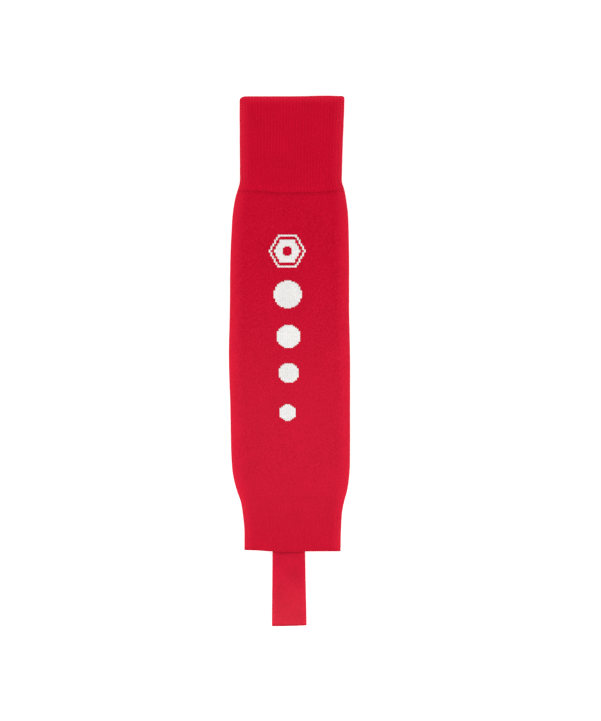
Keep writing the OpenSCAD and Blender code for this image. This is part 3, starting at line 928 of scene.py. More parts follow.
# %% A knitted finish
def knit_finish(name, yarn, pale, highlight_colour, stitch_height, hollows, valleys):
    """Stitch height is a product: the arch of each arm across the wale, which is a cosine,
    times a wave along the course that is slanted by the distance from the wale's middle.
    Colour goes from yarn to pale along the sock by a ramp, painted light that is stronger towards
    the strap's end, and goes to a lighter red at the side folds and the rim, a painted highlight.
    Two noises vary its strength. The hollows between arms and the valleys between ribs get painted
    shade, by the shares given."""
    finish, nodes, links = blank_finish(name)

    place_frame = nodes.new("NodeFrame")
    place_frame.label = "Where in the knit"
    stitch_frame = nodes.new("NodeFrame")
    stitch_frame.label = "V-shaped stitches"
    fibre_frame = nodes.new("NodeFrame")
    fibre_frame.label = "Loose fibres"
    colour_frame = nodes.new("NodeFrame")
    colour_frame.label = "Uneven yarn"

    stitches = nodes.new("ShaderNodeUVMap")
    stitches.label = "Wale and course"
    split = nodes.new("ShaderNodeSeparateXYZ")
    split.label = "Wale, course"
    position = nodes.new("ShaderNodeTexCoord")
    position.label = "Place on the sock"

    in_wale = nodes.new("ShaderNodeMath")
    in_wale.label = "Place in the wale"
    centred = nodes.new("ShaderNodeMath")
    centred.label = "From its middle"
    folded = nodes.new("ShaderNodeMath")
    folded.label = "Fold at the middle"
    arm_turn = nodes.new("ShaderNodeMath")
    arm_turn.label = "Two arms a wale"
    arm_wave = nodes.new("ShaderNodeMath")
    arm_wave.label = "Cosine across an arm"
    arm = nodes.new("ShaderNodeMath")
    arm.label = "Arch of an arm"
    slant = nodes.new("ShaderNodeMath")
    slant.label = "Slant the course"
    course_turn = nodes.new("ShaderNodeMath")
    course_turn.label = "Once a course"
    course_wave = nodes.new("ShaderNodeMath")
    course_wave.label = "Wave along courses"
    course = nodes.new("ShaderNodeMath")
    course.label = "Rise and fall of an arm"
    stitch = nodes.new("ShaderNodeMath")
    stitch.label = "Stitch height"

    fibres = nodes.new("ShaderNodeTexNoise")
    fibres.label = "Fibres"
    height = nodes.new("ShaderNodeMath")
    height.label = "Stitches and fibres"
    bump = nodes.new("ShaderNodeBump")
    bump.label = "Relief"

    fine = nodes.new("ShaderNodeTexNoise")
    fine.label = "Stitch to stitch"
    broad = nodes.new("ShaderNodeTexNoise")
    broad.label = "Patch to patch"
    both = nodes.new("ShaderNodeMath")
    both.label = "Both noises"
    spread = nodes.new("ShaderNodeMapRange")
    spread.label = "Strength of the dye"
    along_sock = nodes.new("ShaderNodeSeparateXYZ")
    along_sock.label = "Along the sock"
    far = nodes.new("ShaderNodeMapRange")
    far.label = "Hem to rim as 0 to 1"
    drift = nodes.new("ShaderNodeValToRGB")
    drift.label = "Painted light towards the strap end"
    yarn_mix = nodes.new("ShaderNodeMix")
    yarn_mix.label = "Yarn to pale yarn"
    flecks = nodes.new("ShaderNodeMath")
    flecks.label = "Pale flecks"
    fleck_share = nodes.new("ShaderNodeMath")
    fleck_share.label = "Drift and flecks"
    uneven = nodes.new("ShaderNodeMix")
    uneven.label = "Uneven dye and painted light"

    highlight_frame = nodes.new("NodeFrame")
    highlight_frame.label = "Painted highlight at the folds and rim"
    half_way = nodes.new("ShaderNodeMath")
    half_way.label = "Share of half the girth"
    in_half = nodes.new("ShaderNodeMath")
    in_half.label = "Place in its half"
    from_fold = nodes.new("ShaderNodeMath")
    from_fold.label = "From the side fold"
    fold_size = nodes.new("ShaderNodeMath")
    fold_size.label = "As a distance"
    fold_highlight = nodes.new("ShaderNodeMapRange")
    fold_highlight.label = "Painted highlight at the folds"
    rim_highlight = nodes.new("ShaderNodeMapRange")
    rim_highlight.label = "Painted highlight at the rim"
    highlight_share = nodes.new("ShaderNodeMath")
    highlight_share.label = "The greater highlight"
    highlight_mix = nodes.new("ShaderNodeMix")
    highlight_mix.label = "Yarn with painted highlight"

    rib_frame = nodes.new("NodeFrame")
    rib_frame.label = "Painted shade of the rib valleys"
    rib_turn = nodes.new("ShaderNodeMath")
    rib_turn.label = "Two wales a rib"
    rib_wave = nodes.new("ShaderNodeMath")
    rib_wave.label = "Ridge and valley"
    valley = nodes.new("ShaderNodeMapRange")
    valley.label = "Painted shade in the valleys"
    depths = nodes.new("ShaderNodeMath")
    depths.label = "Painted shade of hollows and valleys"
    hollow = nodes.new("ShaderNodeMapRange")
    hollow.label = "Painted shade in the hollows"
    dye_and_painted_light = nodes.new("ShaderNodeMix")
    dye_and_painted_light.label = "Yarn with painted shade"

    surface = nodes.new("ShaderNodeBsdfPrincipled")
    surface.label = "Soft matt yarn"
    output = nodes.new("ShaderNodeOutputMaterial")
    output.label = "Output"

    arrange((
        (place_frame, (
            (stitches, -1700, 200), (split, -1520, 200), (position, -1700, -300),
        )),
        (stitch_frame, (
            (in_wale, -1300, 300), (centred, -1120, 300), (folded, -940, 300),
            (arm_turn, -760, 400), (arm_wave, -580, 400), (arm, -400, 400), (slant, -760, 180),
            (course_turn, -580, 180), (course_wave, -400, 180), (course, -220, 180),
            (stitch, -40, 300),
        )),
        (fibre_frame, (
            (fibres, -400, -80), (height, 140, 100), (bump, 340, 100),
        )),
        (colour_frame, (
            (fine, -760, -340), (broad, -760, -620), (both, -560, -440), (spread, -380, -440),
            (along_sock, -1120, -860), (far, -940, -860), (drift, -760, -860),
            (yarn_mix, -380, -760), (flecks, -560, -760), (fleck_share, -480, -920),
            (uneven, -180, -400), (hollow, -180, -80), (dye_and_painted_light, 240, -260),
        )),
        (highlight_frame, (
            (half_way, -1300, -1200), (in_half, -1120, -1200), (from_fold, -940, -1200),
            (fold_size, -760, -1200), (fold_highlight, -580, -1200), (rim_highlight, -580, -1460),
            (highlight_share, -380, -1200), (highlight_mix, -180, -900),
        )),
        (rib_frame, (
            (rib_turn, -1300, 700), (rib_wave, -1120, 700), (valley, -940, 700), (depths, 20, 0),
        )),
        (None, (
            (surface, 600, 0), (output, 900, 0),
        )),
    ))

    stitches.uv_map = "stitches"
    in_wale.operation = "FRACT"
    centred.operation = "SUBTRACT"
    centred.inputs[1].default_value = 0.5
    folded.operation = "ABSOLUTE"
    arm_turn.operation = "MULTIPLY"
    arm_turn.inputs[1].default_value = 4 * np.pi
    arm_wave.operation = "COSINE"
    arm.operation = "MULTIPLY_ADD"
    arm.inputs[1].default_value = -0.5
    arm.inputs[2].default_value = 0.5
    slant.operation = "MULTIPLY_ADD"
    slant.inputs[1].default_value = -1.7
    course_turn.operation = "MULTIPLY"
    course_turn.inputs[1].default_value = 2 * np.pi
    course_wave.operation = "COSINE"
    course.operation = "MULTIPLY_ADD"
    course.inputs[1].default_value = 0.35
    course.inputs[2].default_value = 0.65
    stitch.operation = "MULTIPLY"
    fibres.inputs["Scale"].default_value = 1900
    fibres.inputs["Detail"].default_value = 3
    height.operation = "MULTIPLY_ADD"
    height.inputs[1].default_value = 0.35
    bump.inputs["Strength"].default_value = 0.8
    bump.inputs["Distance"].default_value = stitch_height
    fine.inputs["Scale"].default_value = 850
    fine.inputs["Detail"].default_value = 3
    fine.inputs["Roughness"].default_value = 0.65
    broad.inputs["Scale"].default_value = 60
    broad.inputs["Detail"].default_value = 2
    both.operation = "MULTIPLY_ADD"
    both.inputs[1].default_value = 0.35
    spread.inputs["From Min"].default_value = 0.45
    spread.inputs["From Max"].default_value = 0.90
    spread.inputs["To Min"].default_value = 0.88
    spread.inputs["To Max"].default_value = 1.08
    flecks.operation = "SUBTRACT"
    flecks.inputs[1].default_value = 0.5
    fleck_share.operation = "MULTIPLY_ADD"
    fleck_share.inputs[1].default_value = 2.8
    half_way.operation = "MULTIPLY"
    half_way.inputs[1].default_value = 2 / WALES
    in_half.operation = "FRACT"
    from_fold.operation = "SUBTRACT"
    from_fold.inputs[1].default_value = 0.5
    fold_size.operation = "ABSOLUTE"
    # Painted highlight: a lighter red at the side folds and at the rim.
    fold_highlight.interpolation_type = "SMOOTHSTEP"
    fold_highlight.inputs["From Min"].default_value = 0.15
    fold_highlight.inputs["From Max"].default_value = 0.03
    fold_highlight.inputs["To Max"].default_value = 0.65
    rim_highlight.interpolation_type = "SMOOTHSTEP"
    rim_highlight.inputs["From Min"].default_value = TOP_Y - 7 * MM
    rim_highlight.inputs["From Max"].default_value = TOP_Y + 1 * MM
    highlight_share.operation = "MAXIMUM"
    highlight_mix.data_type = "RGBA"
    highlight_mix.inputs["B"].default_value = (*highlight_colour, 1)
    # Painted shade: the rib valleys are darker.
    rib_turn.operation = "MULTIPLY"
    rib_turn.inputs[1].default_value = np.pi
    rib_wave.operation = "SINE"
    valley.inputs["From Min"].default_value = -1
    valley.inputs["To Min"].default_value = valleys
    depths.operation = "MULTIPLY"
    far.inputs["From Min"].default_value = HEM_Y
    far.inputs["From Max"].default_value = TOP_Y
    # Painted light: the ramp makes the yarn paler towards the strap's end, where the light is
    # stronger.
    stops = drift.color_ramp
    stops.interpolation = "B_SPLINE"
    stops.elements[0].position = 0.0
    stops.elements[0].color = (0.5, 0.5, 0.5, 1)
    stops.elements[1].position = 1.0
    stops.elements[1].color = (0.1, 0.1, 0.1, 1)
    for place, share in (
        (0.10, 0.95), (0.28, 1.0), (0.44, 0.62), (0.62, 0.12), (0.80, 0.0), (0.955, 0.03),
    ):
        stops.elements.new(place).color = (share, share, share, 1)
    yarn_mix.data_type = "RGBA"
    yarn_mix.inputs["A"].default_value = (*yarn, 1)
    yarn_mix.inputs["B"].default_value = (*pale, 1)
    uneven.data_type = "RGBA"
    uneven.blend_type = "MULTIPLY"
    uneven.inputs["Factor"].default_value = 1.0
    # Painted shade: the hollows between the arms of the stitches are darker.
    hollow.inputs["From Min"].default_value = 0.0
    hollow.inputs["From Max"].default_value = 0.6
    hollow.inputs["To Min"].default_value = hollows
    hollow.inputs["To Max"].default_value = 1.0
    dye_and_painted_light.data_type = "RGBA"
    dye_and_painted_light.blend_type = "MULTIPLY"
    dye_and_painted_light.inputs["Factor"].default_value = 1.0
    surface.inputs["Roughness"].default_value = 0.9
    surface.inputs["Specular IOR Level"].default_value = 0.05
    surface.inputs["Sheen Weight"].default_value = 0.35
    surface.inputs["Sheen Roughness"].default_value = 0.3
    surface.inputs["Sheen Tint"].default_value = (*[0.10 + 0.90 * c for c in yarn], 1)

    links.new(stitches.outputs["UV"], split.inputs["Vector"])
    links.new(split.outputs["X"], in_wale.inputs[0])
    links.new(in_wale.outputs["Value"], centred.inputs[0])
    links.new(centred.outputs["Value"], folded.inputs[0])
    links.new(folded.outputs["Value"], arm_turn.inputs[0])
    links.new(arm_turn.outputs["Value"], arm_wave.inputs[0])
    links.new(arm_wave.outputs["Value"], arm.inputs[0])
    links.new(folded.outputs["Value"], slant.inputs[0])
    links.new(split.outputs["Y"], slant.inputs[2])
    links.new(slant.outputs["Value"], course_turn.inputs[0])
    links.new(course_turn.outputs["Value"], course_wave.inputs[0])
    links.new(course_wave.outputs["Value"], course.inputs[0])
    links.new(arm.outputs["Value"], stitch.inputs[0])
    links.new(course.outputs["Value"], stitch.inputs[1])
    links.new(position.outputs["Object"], fibres.inputs["Vector"])
    links.new(fibres.outputs["Fac"], height.inputs[0])
    links.new(stitch.outputs["Value"], height.inputs[2])
    links.new(height.outputs["Value"], bump.inputs["Height"])
    links.new(position.outputs["Object"], fine.inputs["Vector"])
    links.new(position.outputs["Object"], broad.inputs["Vector"])
    links.new(broad.outputs["Fac"], both.inputs[0])
    links.new(fine.outputs["Fac"], both.inputs[2])
    links.new(both.outputs["Value"], spread.inputs["Value"])
    links.new(position.outputs["Object"], along_sock.inputs["Vector"])
    links.new(along_sock.outputs["Y"], far.inputs["Value"])
    links.new(far.outputs["Result"], drift.inputs["Fac"])
    links.new(fine.outputs["Fac"], flecks.inputs[0])
    links.new(flecks.outputs["Value"], fleck_share.inputs[0])
    links.new(drift.outputs["Color"], fleck_share.inputs[2])
    links.new(fleck_share.outputs["Value"], yarn_mix.inputs["Factor"])
    links.new(split.outputs["X"], half_way.inputs[0])
    links.new(half_way.outputs["Value"], in_half.inputs[0])
    links.new(in_half.outputs["Value"], from_fold.inputs[0])
    links.new(from_fold.outputs["Value"], fold_size.inputs[0])
    links.new(fold_size.outputs["Value"], fold_highlight.inputs["Value"])
    links.new(along_sock.outputs["Y"], rim_highlight.inputs["Value"])
    links.new(fold_highlight.outputs["Result"], highlight_share.inputs[0])
    links.new(rim_highlight.outputs["Result"], highlight_share.inputs[1])
    links.new(highlight_share.outputs["Value"], highlight_mix.inputs["Factor"])
    links.new(yarn_mix.outputs["Result"], highlight_mix.inputs["A"])
    links.new(highlight_mix.outputs["Result"], uneven.inputs["A"])
    links.new(split.outputs["X"], rib_turn.inputs[0])
    links.new(rib_turn.outputs["Value"], rib_wave.inputs[0])
    links.new(rib_wave.outputs["Value"], valley.inputs["Value"])
    links.new(valley.outputs["Result"], depths.inputs[0])
    links.new(hollow.outputs["Result"], depths.inputs[1])
    links.new(spread.outputs["Result"], uneven.inputs["B"])
    links.new(stitch.outputs["Value"], hollow.inputs["Value"])
    links.new(uneven.outputs["Result"], dye_and_painted_light.inputs["A"])
    links.new(depths.outputs["Value"], dye_and_painted_light.inputs["B"])
    links.new(dye_and_painted_light.outputs["Result"], surface.inputs["Base Color"])
    links.new(bump.outputs["Normal"], surface.inputs["Normal"])
    links.new(surface.outputs["BSDF"], output.inputs["Surface"])
    return finish


# The pale red is the lit end of the painted light ramp along the sock, and the colour of the
# flecks. The lighter red of the folds and the rim is a painted highlight. The rib red is the plain
# red made lighter, painted light that makes up for the shade in the rib's relief.
PALE_RED = (0.615, 0.0095, 0.0350)
HIGHLIGHT_RED = (0.78, 0.0130, 0.0440)
RED = (0.560, 0.0015, 0.0233)
LIT_RIB_RED = (0.624, 0.0018, 0.0258)
red_knit = knit_finish("red_plain_knit", RED, PALE_RED, HIGHLIGHT_RED, 0.16 * MM, 0.72, 1.0)
red_rib = knit_finish("red_cuff_rib", LIT_RIB_RED, PALE_RED, HIGHLIGHT_RED, 0.16 * MM, 0.72, 0.9)
red_ankle = knit_finish("red_ankle_rib", LIT_RIB_RED, PALE_RED, HIGHLIGHT_RED, 0.16 * MM, 0.72, 0.95)
WHITE = (0.87, 0.86, 0.845)
white_knit = knit_finish("white_knit", WHITE, WHITE, WHITE, 0.04 * MM, 0.9, 1.0)
print("knit finishes:", red_knit.name, red_rib.name, red_ankle.name, white_knit.name)

# %% [markdown]
# ## The finish of the tape and of the threads
#
# Elastic tape is flat knitting with lengthwise ribs and fine cross picks, a little smoother
# and lighter than the sock. Thread is plies that twist round each other, so its pattern is a
# slanted wave on a map that goes round and along it.

# %% The tape's finish
def tape_finish(name, yarn, pale):
    """Height is a rib wave across plus a pick wave along that shifts by half from rib to rib.
    Colour goes from yarn to pale yarn towards the fold, painted light that is stronger at the
    strap's end. That height and two noises vary its strength; it falls at the crease, a painted
    shade, and rises at the edges, a painted highlight."""
    finish, nodes, links = blank_finish(name)

    weave_frame = nodes.new("NodeFrame")
    weave_frame.label = "Ribs and picks"
    colour_frame = nodes.new("NodeFrame")
    colour_frame.label = "Uneven yarn"

    stitches = nodes.new("ShaderNodeUVMap")
    stitches.label = "Rib and pick"
    split = nodes.new("ShaderNodeSeparateXYZ")
    split.label = "Across, along"
    rib_turn = nodes.new("ShaderNodeMath")
    rib_turn.label = "Half a turn a rib"
    rib = nodes.new("ShaderNodeMath")
    rib.label = "Rib side to side"
    pick_turn = nodes.new("ShaderNodeMath")
    pick_turn.label = "Once a pick"
    shifted = nodes.new("ShaderNodeMath")
    shifted.label = "Shift from rib to rib"
    pick = nodes.new("ShaderNodeMath")
    pick.label = "Pick wave"
    bump = nodes.new("ShaderNodeBump")
    bump.label = "Relief"

    position = nodes.new("ShaderNodeTexCoord")
    position.label = "Place on the sock"
    fine = nodes.new("ShaderNodeTexNoise")
    fine.label = "Pick to pick"
    patches = nodes.new("ShaderNodeTexNoise")
    patches.label = "Patch to patch"
    both = nodes.new("ShaderNodeMath")
    both.label = "Both noises"
    tone = nodes.new("ShaderNodeMath")
    tone.label = "Picks and noise"
    crease = nodes.new("ShaderNodeMapRange")
    crease.label = "Painted shade at the crease"
    face_share = nodes.new("ShaderNodeMath")
    face_share.label = "Share of a face"
    in_face = nodes.new("ShaderNodeMath")
    in_face.label = "Place in the face"
    from_middle = nodes.new("ShaderNodeMath")
    from_middle.label = "From the middle"
    middle_size = nodes.new("ShaderNodeMath")
    middle_size.label = "As a distance"
    edge_highlight = nodes.new("ShaderNodeMapRange")
    edge_highlight.label = "Painted highlight at the edges"
    creased = nodes.new("ShaderNodeMath")
    creased.label = "Painted crease shade and edge highlight"
    strength = nodes.new("ShaderNodeMath")
    strength.label = "Dye with painted crease shade and edge highlight"
    spread = nodes.new("ShaderNodeMapRange")
    spread.label = "Strength of the dye"
    along_tape = nodes.new("ShaderNodeSeparateXYZ")
    along_tape.label = "Along the tape"
    lit_toward_fold = nodes.new("ShaderNodeMapRange")
    lit_toward_fold.label = "Hem to fold"
    yarn_mix = nodes.new("ShaderNodeMix")
    yarn_mix.label = "Yarn to pale yarn"
    dye_and_painted_light = nodes.new("ShaderNodeMix")
    dye_and_painted_light.label = "Uneven dye and painted light"

    surface = nodes.new("ShaderNodeBsdfPrincipled")
    surface.label = "Matt elastic tape"
    output = nodes.new("ShaderNodeOutputMaterial")
    output.label = "Output"

    arrange((
        (weave_frame, (
            (stitches, -1300, 200), (split, -1120, 200), (rib_turn, -940, 300), (rib, -760, 300),
            (pick_turn, -940, 100), (shifted, -580, 160), (pick, -400, 160), (bump, 100, 160),
        )),
        (colour_frame, (
            (position, -940, -200), (fine, -760, -200), (patches, -760, -460), (both, -580, -200),
            (tone, -400, -120), (crease, -220, -700), (face_share, -940, -960),
            (in_face, -760, -960), (from_middle, -580, -960), (middle_size, -400, -960),
            (edge_highlight, -220, -960), (creased, -40, -760), (strength, -60, -300), (spread, -220, -120),
            (along_tape, -580, -420), (lit_toward_fold, -400, -420), (yarn_mix, -220, -420),
            (dye_and_painted_light, 120, -120),
        )),
        (None, (
            (surface, 340, 0), (output, 640, 0),
        )),
    ))

    stitches.uv_map = "stitches"
    rib_turn.operation = "MULTIPLY"
    rib_turn.inputs[1].default_value = np.pi
    rib.operation = "SINE"
    pick_turn.operation = "MULTIPLY"
    pick_turn.inputs[1].default_value = 2 * np.pi
    shifted.operation = "MULTIPLY_ADD"
    shifted.inputs[1].default_value = 1.3
    pick.operation = "SINE"
    bump.inputs["Strength"].default_value = 0.7
    bump.inputs["Distance"].default_value = 0.08 * MM
    fine.inputs["Scale"].default_value = 700
    fine.inputs["Detail"].default_value = 3
    tone.operation = "MULTIPLY_ADD"
    tone.inputs[1].default_value = 0.07
    patches.inputs["Scale"].default_value = 85
    patches.inputs["Detail"].default_value = 2
    both.operation = "MULTIPLY_ADD"
    both.inputs[1].default_value = 0.7
    strength.operation = "MULTIPLY"
    # Painted shade: darker along the crease of the fold.
    crease.interpolation_type = "SMOOTHSTEP"
    crease.inputs["From Min"].default_value = FOLD_Y + 0.6 * MM
    crease.inputs["From Max"].default_value = FOLD_Y + 2.4 * MM
    crease.inputs["To Min"].default_value = 0.78
    face_share.operation = "MULTIPLY"
    face_share.inputs[1].default_value = 1 / TAPE_RIBS
    in_face.operation = "FRACT"
    from_middle.operation = "SUBTRACT"
    from_middle.inputs[1].default_value = 0.5
    middle_size.operation = "ABSOLUTE"
    # Painted highlight: lighter along the tape's two edges.
    edge_highlight.interpolation_type = "SMOOTHSTEP"
    edge_highlight.inputs["From Min"].default_value = 0.28
    edge_highlight.inputs["From Max"].default_value = 0.49
    edge_highlight.inputs["To Min"].default_value = 1.0
    edge_highlight.inputs["To Max"].default_value = 1.10
    creased.operation = "MULTIPLY"
    spread.inputs["From Min"].default_value = 0.56
    spread.inputs["From Max"].default_value = 1.14
    spread.inputs["To Min"].default_value = 0.84
    spread.inputs["To Max"].default_value = 1.08
    # Painted light: paler towards the fold, at the strap's end where the light is stronger.
    lit_toward_fold.inputs["From Min"].default_value = HEM_Y - 6 * MM
    lit_toward_fold.inputs["From Max"].default_value = FOLD_Y + 2 * MM
    lit_toward_fold.interpolation_type = "SMOOTHSTEP"
    yarn_mix.data_type = "RGBA"
    yarn_mix.inputs["A"].default_value = (*yarn, 1)
    yarn_mix.inputs["B"].default_value = (*pale, 1)
    dye_and_painted_light.data_type = "RGBA"
    dye_and_painted_light.blend_type = "MULTIPLY"
    dye_and_painted_light.inputs["Factor"].default_value = 1.0
    surface.inputs["Roughness"].default_value = 0.8
    surface.inputs["Specular IOR Level"].default_value = 0.05
    surface.inputs["Sheen Weight"].default_value = 0.25
    surface.inputs["Sheen Roughness"].default_value = 0.3
    surface.inputs["Sheen Tint"].default_value = (0.7, 0.2, 0.22, 1)

    links.new(stitches.outputs["UV"], split.inputs["Vector"])
    links.new(split.outputs["X"], rib_turn.inputs[0])
    links.new(rib_turn.outputs["Value"], rib.inputs[0])
    links.new(split.outputs["Y"], pick_turn.inputs[0])
    links.new(rib.outputs["Value"], shifted.inputs[0])
    links.new(pick_turn.outputs["Value"], shifted.inputs[2])
    links.new(shifted.outputs["Value"], pick.inputs[0])
    links.new(pick.outputs["Value"], bump.inputs["Height"])
    links.new(position.outputs["Object"], fine.inputs["Vector"])
    links.new(pick.outputs["Value"], tone.inputs[0])
    links.new(position.outputs["Object"], patches.inputs["Vector"])
    links.new(patches.outputs["Fac"], both.inputs[0])
    links.new(fine.outputs["Fac"], both.inputs[2])
    links.new(both.outputs["Value"], tone.inputs[2])
    links.new(tone.outputs["Value"], spread.inputs["Value"])
    links.new(position.outputs["Object"], along_tape.inputs["Vector"])
    links.new(along_tape.outputs["Y"], crease.inputs["Value"])
    links.new(spread.outputs["Result"], strength.inputs[0])
    links.new(split.outputs["X"], face_share.inputs[0])
    links.new(face_share.outputs["Value"], in_face.inputs[0])
    links.new(in_face.outputs["Value"], from_middle.inputs[0])
    links.new(from_middle.outputs["Value"], middle_size.inputs[0])
    links.new(middle_size.outputs["Value"], edge_highlight.inputs["Value"])
    links.new(crease.outputs["Result"], creased.inputs[0])
    links.new(edge_highlight.outputs["Result"], creased.inputs[1])
    links.new(creased.outputs["Value"], strength.inputs[1])
    links.new(along_tape.outputs["Y"], lit_toward_fold.inputs["Value"])
    links.new(lit_toward_fold.outputs["Result"], yarn_mix.inputs["Factor"])
    links.new(yarn_mix.outputs["Result"], dye_and_painted_light.inputs["A"])
    links.new(strength.outputs["Value"], dye_and_painted_light.inputs["B"])
    links.new(dye_and_painted_light.outputs["Result"], surface.inputs["Base Color"])
    links.new(bump.outputs["Normal"], surface.inputs["Normal"])
    links.new(surface.outputs["BSDF"], output.inputs["Surface"])
    return finish


# The second red is the lit end of the painted light towards the fold.
strap_red = tape_finish("red_elastic_tape", (0.52, 0.0065, 0.0290), (0.56, 0.0160, 0.0370))


# %% The threads' finish
def thread_finish(name, yarn, shade, turns, roughness):
    """Height is a wave that goes round the thread while it goes along, as plies do, and the
    grooves between plies take the shade."""
    finish, nodes, links = blank_finish(name)

    ply_frame = nodes.new("NodeFrame")
    ply_frame.label = "Twisted plies"
    stitches = nodes.new("ShaderNodeUVMap")
    stitches.label = "Round and along"
    split = nodes.new("ShaderNodeSeparateXYZ")
    split.label = "Round, along"
    twist = nodes.new("ShaderNodeMath")
    twist.label = "Twist"
    angle = nodes.new("ShaderNodeMath")
    angle.label = "As an angle"
    ply = nodes.new("ShaderNodeMath")
    ply.label = "Ply wave"
    share = nodes.new("ShaderNodeMapRange")
    share.label = "Groove to crown"
    dye_and_painted_light = nodes.new("ShaderNodeMix")
    dye_and_painted_light.label = "Shade to yarn"
    bump = nodes.new("ShaderNodeBump")
    bump.label = "Relief"
    surface = nodes.new("ShaderNodeBsdfPrincipled")
    surface.label = "Thread"
    output = nodes.new("ShaderNodeOutputMaterial")
    output.label = "Output"

    arrange((
        (ply_frame, (
            (stitches, -1000, 100), (split, -820, 100), (twist, -640, 100), (angle, -460, 100),
            (ply, -280, 100), (share, -100, -40), (dye_and_painted_light, 80, -40), (bump, 80, 220),
        )),
        (None, (
            (surface, 320, 60), (output, 620, 60),
        )),
    ))

    stitches.uv_map = "stitches"
    twist.operation = "MULTIPLY_ADD"
    twist.inputs[1].default_value = 2
    angle.operation = "MULTIPLY"
    angle.inputs[1].default_value = 2 * np.pi * turns
    ply.operation = "SINE"
    share.inputs["From Min"].default_value = -1
    dye_and_painted_light.data_type = "RGBA"
    dye_and_painted_light.inputs["A"].default_value = (*shade, 1)
    dye_and_painted_light.inputs["B"].default_value = (*yarn, 1)
    bump.inputs["Strength"].default_value = 0.6
    bump.inputs["Distance"].default_value = 0.05 * MM
    surface.inputs["Roughness"].default_value = roughness
    surface.inputs["Specular IOR Level"].default_value = 0.1

    links.new(stitches.outputs["UV"], split.inputs["Vector"])
    links.new(split.outputs["X"], twist.inputs[0])
    links.new(split.outputs["Y"], twist.inputs[2])
    links.new(twist.outputs["Value"], angle.inputs[0])
    links.new(angle.outputs["Value"], ply.inputs[0])
    links.new(ply.outputs["Value"], share.inputs["Value"])
    links.new(ply.outputs["Value"], bump.inputs["Height"])
    links.new(share.outputs["Result"], dye_and_painted_light.inputs["Factor"])
    links.new(dye_and_painted_light.outputs["Result"], surface.inputs["Base Color"])
    links.new(bump.outputs["Normal"], surface.inputs["Normal"])
    links.new(surface.outputs["BSDF"], output.inputs["Surface"])
    return finish


red_thread = thread_finish("red_sewing_thread", (0.56, 0.006, 0.03), (0.48, 0.004, 0.024), 1, 0.8)
white_yarn = thread_finish("white_loose_yarn", (0.86, 0.85, 0.83), (0.70, 0.69, 0.67), 1, 0.85)
elastic_yarn = thread_finish("covered_elastic", (0.62, 0.30, 0.30), (0.45, 0.12, 0.14), 1, 0.7)
print("thread finishes:", red_thread.name, white_yarn.name, elastic_yarn.name)

# %% [markdown]
# ## Dress the pieces and tie them to the frame
#
# Each piece gets its material, and the CAD nodes that it stands for are hidden. All but the tape
# ride on the sleeve body of the frame; the tape's place is baked into its mesh.

# %% Materials and bodies
def dress(piece, finish, slot, *nodes):
    """One material, and the CAD nodes that the piece stands for, which are hidden. The slot is not
    used.
    """
    piece.data.materials.append(finish)
    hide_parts(*nodes)


dress(leg, red_knit, "plain_knit", "leg_tube")
dress(ankle, red_ankle, "rib_knit", "ankle_rib")
dress(cuff, red_rib, "rib_knit", "cuff_outer", "cuff_inner")
dress(cuff_elastic, elastic_yarn, "elastic_thread", "cuff_elastic_threads")
dress(ankle_elastic, elastic_yarn, "elastic_thread", "ankle_elastic_threads")
dress(overlock, red_thread, "sewing_thread", "hem_overlock")
dress(front_seam, red_thread, "sewing_thread", "front_tab_stitching")
dress(back_seam, red_thread, "sewing_thread", "back_tab_stitching")
dress(badge, white_knit, "white_knit", "badge")
dress(floats, white_yarn, "white_knit", "pattern_yarn_floats")
for node, mark in marks.items():
    dress(mark, white_knit, "white_knit", node)
tape_nodes = ("stirrup_loop", "stirrup_flex", "stirrup_front_tab", "stirrup_back_tab")
dress(tape, strap_red, "strap_tape", *tape_nodes)

riders = [
    leg, ankle, cuff, cuff_elastic, ankle_elastic, overlock, front_seam, back_seam, badge, floats,
]
for piece in riders + list(marks.values()):
    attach(piece, "sleeve")
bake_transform(tape)

# %% [markdown]

# %% [markdown]
# ## The floor, the light and the camera
#
# The sock lies on a plain pale floor, seen from straight above through a long lens, so that
# its outline hardly spreads. The light is soft and comes from everywhere, a little stronger
# from the strap's end. A large area light gives soft light because each point of the floor
# sees all of it, and the world's pale grey fills what shade is left.

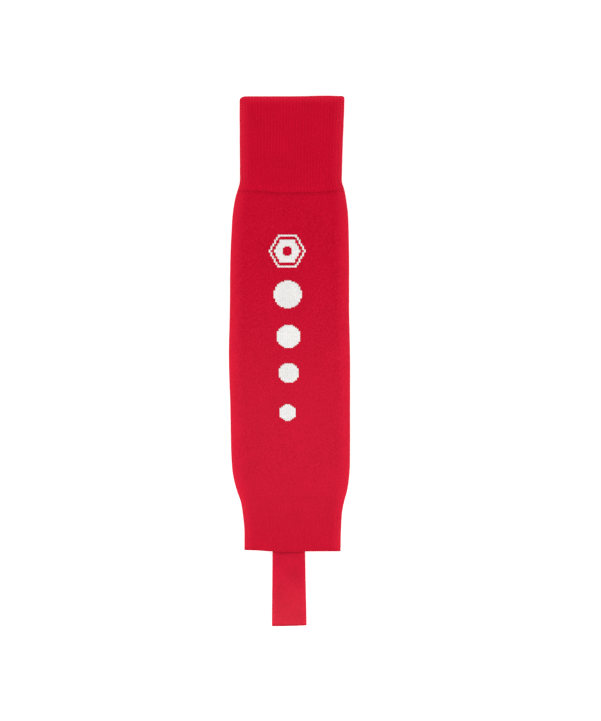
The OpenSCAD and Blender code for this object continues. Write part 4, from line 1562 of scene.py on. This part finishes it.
# %% Lay the floor
FLOOR_REACH = 3.0
FLOOR_Z = -0.6 * MM
signs = ((-1, -1), (1, -1), (1, 1), (-1, 1))
corners = [(FLOOR_REACH * a, FLOOR_REACH * b, FLOOR_Z) for a, b in signs]
floor_mesh = bpy.data.meshes.new("floor")
floor_mesh.from_pydata(corners, [], [(0, 1, 2, 3)])
floor = put_in_scene("floor", floor_mesh)
floor_white = bpy.data.materials.new("pale_floor")
floor_white.use_nodes = True
floor_surface = floor_white.node_tree.nodes["Principled BSDF"]
floor_surface.inputs["Base Color"].default_value = (0.93, 0.93, 0.93, 1)
floor_surface.inputs["Roughness"].default_value = 0.9
floor_surface.inputs["Specular IOR Level"].default_value = 0.1
floor_surface.inputs["Emission Color"].default_value = (1, 1, 1, 1)
floor_surface.inputs["Emission Strength"].default_value = 0.45
floor_mesh.materials.append(floor_white)


# %% Light it softly
def area_light(name, place, aim, size, power):
    """A square area light of a given side, in watts, turned to face a point."""
    lamp = bpy.data.lights.new(name, "AREA")
    lamp.size = size
    lamp.energy = power
    holder = put_in_scene(name, lamp)
    holder.location = place
    from_aim = np.array(place, float) - np.array(aim, float)
    tilt = np.arccos(from_aim[2] / np.linalg.norm(from_aim))
    heading = np.arctan2(from_aim[1], from_aim[0])
    holder.rotation_euler = (0, tilt, heading)
    return holder


world = bpy.data.worlds.new("soft_room")
bpy.context.scene.world = world
world.use_nodes = True
world.node_tree.nodes["Background"].inputs["Color"].default_value = (1, 1, 1, 1)
world.node_tree.nodes["Background"].inputs["Strength"].default_value = 0.78
area_light("strap_end_light", (0.15, -1.25, 1.05), (0, -0.1, 0), 0.9, 11.0)
area_light("left_light", (-1.3, 0.25, 1.0), (0, 0, 0), 0.9, 7.0)
area_light("right_light", (1.3, 0.1, 1.2), (0, 0, 0), 0.9, 5.0)

# %% Aim the camera
camera_data = bpy.data.cameras.new("camera")
camera_data.lens = 100
camera_data.sensor_width = 36
camera_data.clip_start = 0.05
camera_data.clip_end = 20
camera = put_in_scene("camera", camera_data)
SEEN_HEIGHT = 0.5552
MID_HEIGHT = 5.5 * MM
away = SEEN_HEIGHT * camera_data.lens / camera_data.sensor_width
camera.location = (8.5 * MM, 0.6 * MM, MID_HEIGHT + away)
bpy.context.scene.camera = camera
bpy.context.scene.view_settings.view_transform = "Standard"
bpy.context.scene.view_settings.look = "None"
print("camera", round(away, 3), "m above the sock")
